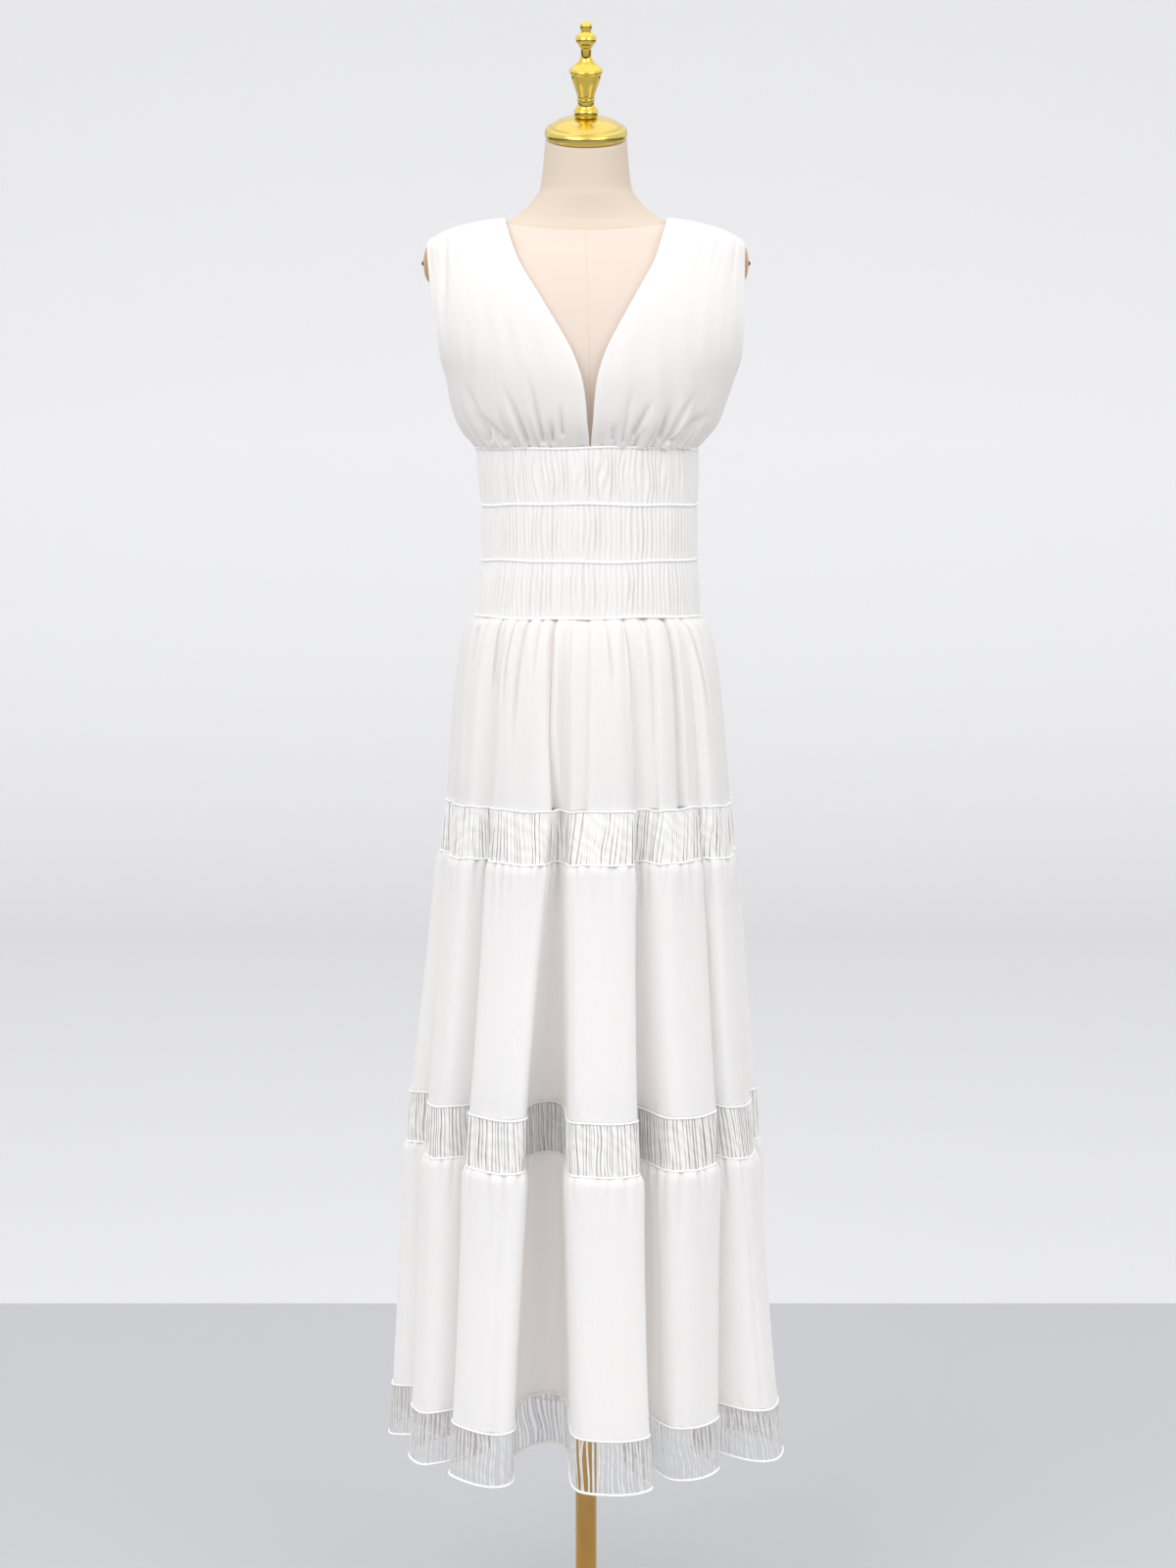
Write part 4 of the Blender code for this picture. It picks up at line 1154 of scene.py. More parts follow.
@dataclass(frozen=True)
class LadderStrip:
    """A strip of open-work: upright threads between two thin cords."""

    name: str
    node: str
    top_z: float
    foot_z: float
    threads: int
    foot_cord: float
    # Layers of thread, one behind the other.
    layers: int = 2
    layer_gap: float = 0.0014
    # How many times wider the threads behind are, so that they close the gaps in front.
    backing: float = 2.2
    stations: int = 8
    sides: int = 6
    half_width: float = 0.0016
    half_depth: float = 0.0005
    # Least and greatest share of its full size that a thread has.
    thickness: tuple = (0.75, 1.25)
    # The cords along the strip's edges: the upper one's radius, how far inside the strip each one
    # lies, and how many stations and sides both have.
    top_cord: float = 0.0013
    top_inset: float = 0.0006
    foot_inset: float = 0.0004
    cord_steps: int = 720
    cord_sides: int = 6
    # How far neighbouring threads lean and bend together, and in how many waves round the skirt.
    sway: float = 0.0016
    lean_waves: tuple = (5, 11, 19, 31)
    bend_waves: tuple = (7, 13, 27)
    # How far a thread strays on its own, in pitches.
    stray: float = 0.22
    # How far the threads' feet lie inside the strip's face, and how far their middles bow in or out.
    sunk: float = 0.0004
    bow: tuple = (-0.0004, 0.0008)
    # Steps of the ruler that is laid along each row to space the threads.
    ruler: int = 2520
    seed: int = 11

    def thread_tubes(self, plan: FoldPlan, rng: np.random.Generator, behind: float) -> tuple:
        """Return one layer of threads.

        Args:
            plan: The skirt's folds.
            rng: Source of chance.
            behind: How far the layer lies behind the strip's face.

        Returns:
            The threads' tubes, and the place around the skirt of each.
        """
        share = np.linspace(0, 1, self.stations)
        z = self.top_z - GAP / 2 + (self.foot_z - self.top_z) * share
        fine = np.tile(plan.places(self.ruler), (self.stations, 1))
        run = plan.rings(z, fine).run
        whole = run[:, -1:]
        pitch = 1.0 / self.threads
        place = (np.arange(self.threads) + rng.uniform(0.3, 0.7, self.threads)) * pitch
        turn = math.tau * place
        lean, bend = (
            sum(rng.uniform(least, 1.0) * np.sin(k * turn + rng.uniform(0, math.tau)) for k in waves)
            for least, waves in ((0.4, self.lean_waves), (0.3, self.bend_waves))
        )
        own = rng.normal(0, self.stray * pitch, (2, self.threads))
        # Threads are spaced along the seams, in metres, so a fold's flanks hold as many as its ridge.
        down = share[:, None]
        shared = (down - 0.5) * lean[None] + 0.45 * np.sin(math.tau * down) * bend[None]
        single = own[0][None] * down + own[1][None] * np.sin(math.pi * down) * 0.6
        along = place[None] * whole + self.sway * shared + whole * single
        u = np.array([np.interp(row, line, places) for row, line, places in zip(along, run, fine)])
        rings = plan.rings(z, u)
        belly = rng.uniform(*self.bow, self.threads)[None] * np.sin(math.pi * down)
        centres = plan.placed(z, u, rings, belly - self.sunk - behind)
        phase = math.tau * np.arange(self.sides) / self.sides
        out = np.concatenate((rings.out, np.zeros_like(rings.out[..., :1])), axis=2)
        across = np.stack((-rings.out[..., 1], rings.out[..., 0], np.zeros_like(rings.depth)), axis=2)
        thick = rng.uniform(*self.thickness, self.threads)[None, :, None, None]
        half_width = self.half_width * (self.backing if behind else 1.0)
        tubes = centres[:, :, None] + thick * (
            across[:, :, None] * (half_width * np.cos(phase))[None, None, :, None]
            + out[:, :, None] * (self.half_depth * np.sin(phase))[None, None, :, None]
        )
        return np.swapaxes(tubes, 0, 1), u.mean(axis=0)

    def build(self, finish: bpy.types.Material, piping: bpy.types.Material) -> None:
        """Build the strip's front and back panel, with the thin cords along both edges.

        Args:
            finish: The threads' material.
            piping: The cords' material.
        """
        plan = FoldPlan()
        rng = np.random.default_rng(self.seed)
        layers = [self.thread_tubes(plan, rng, layer * self.layer_gap) for layer in range(self.layers)]
        cords = (
            self.cord(plan, self.top_z - self.top_inset, self.top_cord),
            self.cord(plan, self.foot_z + self.foot_inset, self.foot_cord),
        )
        for half in Half:
            first, last = half.value
            low, high = (SKIRT_START + edge * plan.length / SEAM_PARTS for edge in (first, last))
            side = half.name.lower()
            mould = Mould.empty()
            for tubes, middle in layers:
                wrapped = np.where(middle < low, middle + plan.length, middle)
                mould.add_tubes(tubes[(wrapped >= low) & (wrapped < high)])
            mould.cast(f"{self.name}_{side}", finish, "white_net", [f"{self.node}_{side}"])
            edges = Mould.empty()
            for cord in cords:
                start, stop = (edge * self.cord_steps // SEAM_PARTS for edge in (first, last))
                chosen = np.arange(start, stop + 1) % self.cord_steps
                edges.add_grid(cord[chosen].swapaxes(0, 1)[::-1])
            edges.cast(f"{self.name}_{side}_cords", piping, "white_crepe")

    def cord(self, plan: FoldPlan, z: float, radius: float, proud: float = 0.0002) -> np.ndarray:
        """Return a thin cord round the skirt.

        Args:
            plan: The skirt's folds.
            z: The cord's height.
            radius: The cord's radius.
            proud: How far its middle stands out from the plan.

        Returns:
            Stations by sides by 3, the last side on the first.
        """
        u = plan.places(self.cord_steps)[None, :-1]
        rings = plan.rings(np.array([z]), u)
        centre = plan.placed(np.array([z]), u, rings, np.full_like(u, proud))[0]
        out = np.concatenate((rings.out[0], np.zeros((self.cord_steps, 1))), axis=1)
        phase = -math.tau * np.arange(self.cord_sides + 1) / self.cord_sides
        up = np.array([0.0, 0.0, 1.0])
        return (
            centre[:, None]
            + out[:, None] * (radius * np.cos(phase))[None, :, None]
            + up[None, None] * (radius * np.sin(phase))[None, :, None]
        )


@dataclass(frozen=True)
class Skirt:
    """Three gathered tiers, two ladder strips between them and one at the hem."""

    tiers: tuple = (
        Tier(
            number=1, top_z=TIER_1_TOP_Z, hem_z=TIER_1_HEM_Z, cut=(0.54, 0.21),
            gathers=66, gather_depth=0.0040, gather_length=(0.030, 0.120),
            puff=(
                (0.0, 0.0004), (0.006, 0.0018), (0.026, 0.0022), (0.080, 0.0012), (0.15, 0.0), (1.0, 0.0),
            ),
            creases=(
                Crease(-68.5, -64.0, 0.05, 0.95, 9.0, 2.4, 3.0), Crease(-53.1, -52.0, 0.0, 0.45, 5.0, 1.9),
                Crease(-42.8, -43.5, 0.0, 0.50, 6.0, 1.9), Crease(-35.2, -37.0, 0.0, 0.75, 7.0, 2.0, 2.0),
                Crease(-27.2, -27.0, 0.0, 0.35, 4.0, 1.9), Crease(-18.7, -13.3, 0.0, 1.0, 10.0, 2.4, 2.5),
                Crease(1.8, -0.5, 0.0, 1.0, 6.0, 1.8, 9.0), Crease(11.9, 16.5, 0.0, 0.40, 4.5, 1.8),
                Crease(23.8, 22.5, 0.0, 0.60, 5.5, 2.2), Crease(36.9, 32.0, 0.0, 1.0, 6.0, 3.0, 2.5),
                Crease(49.4, 47.0, 0.0, 1.0, 10.0, 2.4, 2.5), Crease(61.2, 67.0, 0.0, 0.65, 7.0, 2.2, 1.5),
            ),
            seed=5,
        ),
        Tier(
            number=2, top_z=TIER_2_TOP_Z, hem_z=TIER_2_HEM_Z, cut=(0.96, 0.28),
            gathers=96, gather_depth=0.0044, gather_length=(0.016, 0.090),
            puff=(
                (0.0, 0.0002), (0.003, 0.0026), (0.008, 0.0042), (0.020, 0.0042), (0.05, 0.0030),
                (0.11, 0.0014), (0.22, 0.0), (1.0, 0.0),
            ),
            pleats=(
                Pleat(31.3, 3.0, 5.0), Pleat(32.2, 3.6, 5.0), Pleat(23.2, 2.4, 5.0), Pleat(39.2, 3.0, 5.0),
                Pleat(46.4, 3.0, 5.0), Pleat(53.6, 2.4, 5.0), Pleat(28.2, 0.9, 4.0), Pleat(35.4, 0.9, 4.0),
                Pleat(43.4, 1.6, 4.0), Pleat(50.4, 1.6, 4.0), Pleat(20.6, 1.4, 4.0),
            ),
            pinch=0.7, wave=0.0004, seed=6,
        ),
        Tier(
            number=3, top_z=TIER_3_TOP_Z, hem_z=TIER_3_HEM_Z, cut=(1.22, 0.29),
            gathers=116, gather_depth=0.0046, gather_length=(0.016, 0.090),
            puff=(
                (0.0, 0.0002), (0.003, 0.0028), (0.008, 0.0048), (0.020, 0.0050), (0.05, 0.0038),
                (0.11, 0.0018), (0.22, 0.0), (1.0, 0.0),
            ),
            pleats=(
                Pleat(31.2, 3.4, 6.0), Pleat(32.3, 4.2, 6.0), Pleat(22.9, 2.8, 6.0), Pleat(39.3, 3.4, 6.0),
                Pleat(46.3, 3.0, 6.0), Pleat(53.5, 2.8, 6.0), Pleat(27.6, 1.1, 5.0), Pleat(34.5, 1.2, 4.0),
                Pleat(35.6, 1.4, 5.0), Pleat(42.6, 2.0, 5.0), Pleat(49.8, 2.0, 5.0), Pleat(20.2, 2.0, 5.0),
            ),
            pinch=0.7, wave=0.0004, rows=48, columns=1260, seed=7,
        ),
    )
    strips: tuple = (
        LadderStrip("ladder_strip_1", "insertion_1", TIER_1_HEM_Z, TIER_2_TOP_Z, 400, 0.0012, seed=21),
        LadderStrip("ladder_strip_2", "insertion_2", TIER_2_HEM_Z, TIER_3_TOP_Z, 500, 0.0012, seed=22),
        LadderStrip(
            "hem_ladder", "hem_trim", TIER_3_HEM_Z, HEM_Z, 440, 0.0015, layers=1, half_width=0.0013,
            sway=0.0026, seed=23,
        ),
    )

    def build(self, crepe: bpy.types.Material, piping: bpy.types.Material, thread: bpy.types.Material,
              fringe: bpy.types.Material) -> None:
        """Build every panel and strip.

        Args:
            crepe: The tiers' material.
            piping: The thin cords' material.
            thread: The material of the strips that have two layers of threads.
            fringe: That of the hem's single layer, drawn greyer as painted shade.
        """
        for strip in self.strips:
            strip.build(thread if strip.layers > 1 else fringe, piping)
        for tier in self.tiers:
            tier.build(crepe)


# ---------------------------------------------------------------- waistband
@dataclass(frozen=True)
class Waistband:
    """Three ribbed rows that swell between four thin piping cords."""

    ribs: int = 126
    steps: int = 10
    rows: int = 15
    rib_height: float = 0.0034
    swells: tuple = (0.0016, 0.0010, 0.0016)
    # How far the ribs of each row wander sideways, in ribs.
    wander: tuple = (0.75, 0.35, 0.30)
    cord_radius: float = 0.0014
    # How far the cords' centres stand out from the ribs' crests.
    cord_out: float = 0.0003
    # Height that a row leaves free at each seam, which the cord covers.
    edge: float = 0.0005
    cord_steps: int = 280
    cord_sides: int = 8
    # The seams' waver: the height, the count round the waist and the shift from seam to seam of each
    # wave. The ribs wander in waves of their own.
    waver_waves: tuple = ((0.0008, 3, 2.1), (0.0005, 8, 1.3))
    stray_waves: tuple = (5, 9, 14, 22, 31)
    cuts: tuple = ((0.95, 0.06), (0.94, 0.06), (0.95, 0.06))
    seed: int = 40

    def waver(self, seam: int, turn: np.ndarray) -> np.ndarray:
        """Return how far a cord strays up or down around the waist."""
        return sum(height * np.sin(count * turn + seam * shift) for height, count, shift in self.waver_waves)

    def around(self, number: int, share: np.ndarray, turn: np.ndarray, move: np.ndarray) -> np.ndarray:
        """Return points of a row.

        Args:
            number: The row's number, from 0.
            share: Place between the row's seams, one a row of points.
            turn: Angles in radians, one a column.
            move: How far out each point lies from the crests' line.

        Returns:
            Rows by columns by 3.
        """
        upper, lower = BAND_SEAMS[number], BAND_SEAMS[number + 1]
        seam = [a + (b - a) * share[:, None] for a, b in zip(upper, lower)]
        x, y = oval(seam[1] + move, seam[2] + move, seam[3] + move, seam[3] + move, turn[None], 1.0)
        top = upper.z - self.edge + self.waver(number, turn)
        foot = lower.z + self.edge + self.waver(number + 1, turn)
        z = top[None] + (foot - top)[None] * share[:, None]
        return np.stack((x, y, z), axis=2)

    def build_row(self, number: int, finish: bpy.types.Material) -> None:
        """Build one ribbed row.

        Args:
            number: The row's number, from 0.
            finish: Its material.
        """
        rng = np.random.default_rng(self.seed + number)
        turn = math.tau * np.arange(self.ribs * self.steps) / (self.ribs * self.steps)
        share = np.linspace(0, 1, self.rows)
        middle = np.sin(math.pi * share)[:, None]
        stray = sum(
            rng.uniform(0.4, 1.0)
            * np.sin(k * turn[None] + rng.uniform(0, math.tau) + rng.uniform(-3, 3) * share[:, None])
            for k in self.stray_waves
        )
        phase = self.ribs * turn[None] + math.tau * self.wander[number] * stray * middle * 0.5
        groove = ((1 - np.cos(phase)) / 2) ** 1.8
        uneven = 0.75 + 0.35 * np.sin(37 * turn + number) * np.sin(23 * turn + 2.0)
        # The ribs are shallower at the seams, which hold them, than in the middle of the row.
        tall = self.rib_height * (0.35 + 0.65 * middle ** 0.5) * uneven[None]
        swell = self.swells[number] * middle ** 0.7
        mould = Mould.empty()
        mould.add_grid(self.around(number, share, turn, swell - tall * groove), closed=True)
        piece = mould.cast(f"shirred_row_{number + 1}", finish, "white_crepe", [f"waist_row_{number + 1}"])

    def build_cord(self, seam: int, finish: bpy.types.Material) -> None:
        """Build the piping cord of a seam.

        Args:
            seam: The seam's number, from 0 at the top.
            finish: The cord's material.
        """
        turn = math.tau * np.arange(self.cord_steps) / self.cord_steps
        place = BAND_SEAMS[seam]
        phase = -math.tau * np.arange(self.cord_sides) / self.cord_sides
        out = self.cord_radius * np.cos(phase)[None, :] + self.cord_out
        up = self.cord_radius * np.sin(phase)[None, :]
        x, y = oval(
            place.half_left + out, place.half_right + out, place.half_depth + out, place.half_depth + out,
            turn[:, None], 1.0,
        )
        z = place.z + self.waver(seam, turn)[:, None] + up
        mould = Mould.empty()
        mould.add_ring_tube(np.stack((x, y, z), axis=2))
        mould.cast(f"piping_{seam + 1}", finish, "white_crepe", [f"waist_cord_{seam + 1}"])

    def build(self, crepe: bpy.types.Material, piping: bpy.types.Material) -> None:
        """Build the rows and the cords.

        Args:
            crepe: The rows' material.
            piping: The cords' material.
        """
        for number in range(len(BAND_SEAMS) - 1):
            self.build_row(number, crepe)
        for seam in range(len(BAND_SEAMS)):
            self.build_cord(seam, piping)


# ---------------------------------------------------------------- bodice
class Pull(NamedTuple):
    """A crease of the bodice seen from the front: both ends as x and z, depth and width in mm."""

    x_foot: float
    z_foot: float
    x_end: float
    z_end: float
    depth: float
    width: float


LEFT_PULLS = (
    Pull(-0.0880, 1.3841, -0.1303, 1.4200, 9.5, 3.6),
    Pull(-0.0636, 1.3820, -0.0932, 1.4505, 8.5, 2.8),
    Pull(-0.0466, 1.3841, -0.0677, 1.4726, 7.5, 2.6),
    Pull(-0.0360, 1.3841, -0.0381, 1.4100, 6.0, 2.0),
    Pull(-0.0254, 1.3926, -0.0285, 1.4316, 5.5, 2.0),
    Pull(-0.1540, 1.6062, -0.1564, 1.5000, 4.5, 2.8),
    Pull(-0.1060, 1.3860, -0.1370, 1.4560, 7.0, 3.0),
)
RIGHT_PULLS = (
    Pull(0.0287, 1.3863, 0.0308, 1.4050, 5.0, 1.9),
    Pull(0.0521, 1.3905, 0.0753, 1.4337, 7.5, 2.5),
    Pull(0.0818, 1.3863, 0.0934, 1.4253, 7.5, 2.3),
    Pull(0.0956, 1.3841, 0.1443, 1.4221, 10.0, 3.2),
    Pull(0.0900, 1.3850, 0.1230, 1.4450, 8.0, 2.7),
    Pull(0.0400, 1.3850, 0.0520, 1.4500, 5.0, 2.4),
)


@dataclass(frozen=True)
class BodicePanel:
    """A front or back panel of the bodice, folded in at the neck and armhole."""

    side: Side
    front: bool
    cut: tuple
    pulls: tuple = ()
    rows: int = 118
    columns: int = 150
    seed: int = 60
    # Slight waves: their height, their number and how high above the waist they die out.
    wave: float = 0.0006
    waves: int = 6
    waist_z: float = 1.380
    wave_reach: float = 0.16
    # The gathers at the waist: number, foot, depth, length and half width as a share of the panel's.
    gathers: int = 15
    gather_z: float = 1.381
    gather_depth: float = 0.0050
    gather_length: tuple = (0.012, 0.050)
    gather_width: float = 0.012
    # The same for those at the shoulder.
    tucks: int = 7
    tuck_z: float = 1.632
    tuck_depth: float = 0.0022
    tuck_length: tuple = (0.03, 0.10)
    tuck_width: float = 0.030
    # The turned-in edges at the neck and the armhole, each row as its drop and its reach inward, and
    # at the waist, each as its reach inward and its drop.
    side_turns: tuple = ((0.0005, -0.0003), (0.0012, 0.0001), (0.0016, 0.0020), (0.0018, 0.0060))
    waist_turns: tuple = ((0.0009, 0.0008), (0.0018, 0.0026))
    # The least angle that a row keeps between the neck and the armhole, and what the side seam takes.
    least_angle: float = 6.0
    seam_angle: float = 0.07
    # Share of the cut's rectangle that is left after the neck and the armhole are cut out.
    cut_share: float = 0.84

    def frame_rows(self) -> tuple:
        """Lay the panel out without its creases.

        Returns:
            Its points, and the share of the way from the neck to the armhole of each column.
        """
        at = np.linspace(0, len(BODICE_ROWS) - 1, self.rows)
        z, left, right, front, back, front_x, back_x, arm = read_table(BODICE_ROWS, at).T[:, :, None]
        half = right if self.side is Side.RIGHT else left
        neck_x = front_x if self.front else back_x
        arm = np.clip(arm, 0, 90)
        neck = np.degrees(np.arcsin(np.clip(neck_x / half, 0, 1) ** (1 / BODICE_SQUARENESS)))
        neck = np.minimum(neck, arm - self.least_angle)
        arm = np.where(arm > 90 - self.seam_angle, 90 - self.seam_angle, arm)
        share = np.linspace(0, 1, self.columns)[None]
        angle = neck + (arm - neck) * share
        if not self.front:
            angle = 180.0 - angle
        x, y = oval(half, half, front, back, np.radians(angle), BODICE_SQUARENESS)
        x = x * self.side.value
        if self.front:
            lean = np.clip((V_LEAN_TOP_Z - z) / (V_LEAN_TOP_Z - V_LEAN_FOOT_Z), 0, 1)
            x = x + V_POINT_X * lean * (1 - share) ** 2
        points = np.stack((x, y, np.broadcast_to(z, x.shape)), axis=2)
        if self.flipped:
            points, share = points[:, ::-1], share[:, ::-1]
        return points, share

    @property
    def flipped(self) -> bool:
        """True where the columns must be turned round to run counterclockwise."""
        return (self.side is Side.LEFT) == self.front

    def relief(self, points: np.ndarray, share: np.ndarray) -> np.ndarray:
        """Return how far each point lies out from the plain panel.

        Args:
            points: The plain panel.
            share: Each column's share of the way from the neck to the armhole.

        Returns:
            Rows by columns, in metres.
        """
        rng = np.random.default_rng(self.seed)
        x, z = points[..., 0], points[..., 2]
        move = np.zeros_like(x)
        low = 0.1 + 0.9 * np.clip(1 - (z - self.waist_z) / self.wave_reach, 0, 1)
        for _ in range(self.waves):
            count, phase, lean = rng.uniform(2.5, 9), rng.uniform(0, math.tau), rng.uniform(-6, 6)
            move += self.wave * np.sin(count * math.tau * share + phase + lean * (z - 1.5) * 6) * low
        for place in (np.arange(self.gathers) + rng.uniform(-0.3, 0.3, self.gathers) + 0.5) / self.gathers:
            length = rng.uniform(*self.gather_length)
            fade = np.clip(1 - (z - self.gather_z) / length, 0, 1) ** 1.2
            width = self.gather_width * (1 + 0.8 * (1 - fade))
            trough = np.exp(-(((share - place) / width) ** 2))
            move -= self.gather_depth * rng.uniform(0.4, 1.2) * fade * trough
        for place in rng.uniform(0.12, 0.95, self.tucks):
            length = rng.uniform(*self.tuck_length)
            fade = np.clip(1 - (self.tuck_z - z) / length, 0, 1)
            trough = np.exp(-(((share - place) / self.tuck_width) ** 2))
            move -= self.tuck_depth * rng.uniform(0.4, 1.0) * fade * trough
        for pull in self.pulls:
            move -= self.pull_depth(pull, x, z)
        edge = smooth_step(share / 0.03) * smooth_step((1 - share) / 0.02)
        hem = smooth_step((z - 1.379) / 0.006)
        return move * edge * (0.7 + 0.3 * hem)

    @staticmethod
    def pull_depth(pull: Pull, x: np.ndarray, z: np.ndarray) -> np.ndarray:
        """Return how deep a crease lies at each point, fading out toward its end.

        Args:
            pull: The crease.
            x: The points' X.
            z: Their heights.

        Returns:
            Depths in the same shape.
        """
        dx, dz = pull.x_end - pull.x_foot, pull.z_end - pull.z_foot
        along = ((x - pull.x_foot) * dx + (z - pull.z_foot) * dz) / (dx * dx + dz * dz)
        held = np.clip(along, 0, 1)
        away = np.hypot(x - pull.x_foot - held * dx, z - pull.z_foot - held * dz)
        width = pull.width / 1000 * (0.8 + 0.9 * held)
        fade = (1 - smooth_step((held - 0.25) / 0.75)) * smooth_step((along + 0.25) * 4)
        return pull.depth / 1000 * fade * np.exp(-((away / width) ** 2))

    def build(self, finish: bpy.types.Material) -> None:
        """Args:
            finish: The cloth's material.
        """
        points, share = self.frame_rows()
        normal = outward(points)
        points = points + normal * self.relief(points, share)[..., None]
        normal = outward(points)
        edges = []
        for column, inner in ((0, 1), (-1, -2)):
            into = points[:, inner] - points[:, column]
            into = into / np.maximum(np.linalg.norm(into, axis=1, keepdims=True), 1e-9)
            down = normal[:, column]
            turned = [points[:, column] - down * drop + into * reach for drop, reach in self.side_turns]
            edges.append(np.stack(turned, axis=1))
        whole = np.concatenate((edges[0][:, ::-1], points, edges[1]), axis=1)
        # The lower edge turns in behind the first piping cord.
        out = whole[-1] * np.array((1.0, 1.0, 0.0))
        out /= np.linalg.norm(out, axis=1, keepdims=True)
        tucked = [whole[-1] - out * reach - np.array((0.0, 0.0, drop)) for reach, drop in self.waist_turns]
        mould = Mould.empty()
        mould.add_grid(np.concatenate((whole, np.array(tucked))))
        side, part = self.side.name.lower(), "front" if self.front else "back"
        piece = mould.cast(f"bodice_{part}_{side}_panel", finish, "white_crepe", [f"bodice_{part}_{side}"])


@dataclass(frozen=True)
class Bodice:
    """Two fronts that part in a deep V neck, and the two halves of the back."""

    panels: tuple = (
        BodicePanel(Side.LEFT, True, (0.23, 0.27), LEFT_PULLS, seed=61),
        BodicePanel(Side.RIGHT, True, (0.23, 0.27), RIGHT_PULLS, seed=62),
        BodicePanel(Side.LEFT, False, (0.23, 0.27), columns=90, rows=90, seed=63),
        BodicePanel(Side.RIGHT, False, (0.23, 0.27), columns=90, rows=90, seed=64),
    )

    def build(self, crepe: bpy.types.Material) -> None:
        """Build every panel.

        Args:
            crepe: Their material.
        """
        for panel in self.panels:
            panel.build(crepe)


# ---------------------------------------------------------------- form and stand
@dataclass(frozen=True)
class Turning:
    """A turned piece: radius and height pairs down its outer side, round an axis that may lean."""

    name: str
    node: str
    slot: str
    profile: tuple
    foot: tuple = (0.0, 0.0, 0.0)
    tilt: float = 0.0
    sides: int = 72

    def build(self, finish: bpy.types.Material) -> None:
        """Build the piece from its profile, on its foot and leaning toward the front by its tilt.

        Args:
            finish: Its material.
        """
        turn = math.tau * np.arange(self.sides)[None] / self.sides
        radius, height = np.array(self.profile).T[:, :, None]
        x, ahead, up = radius * np.sin(turn), radius * np.cos(turn), height + 0 * turn
        y = -ahead * math.cos(self.tilt) - up * math.sin(self.tilt)
        z = up * math.cos(self.tilt) - ahead * math.sin(self.tilt)
        mould = Mould.empty()
        mould.add_grid(np.stack((x, y, z), axis=2) + np.array(self.foot), closed=True)
        mould.cast(self.name, finish, self.slot, [self.node])


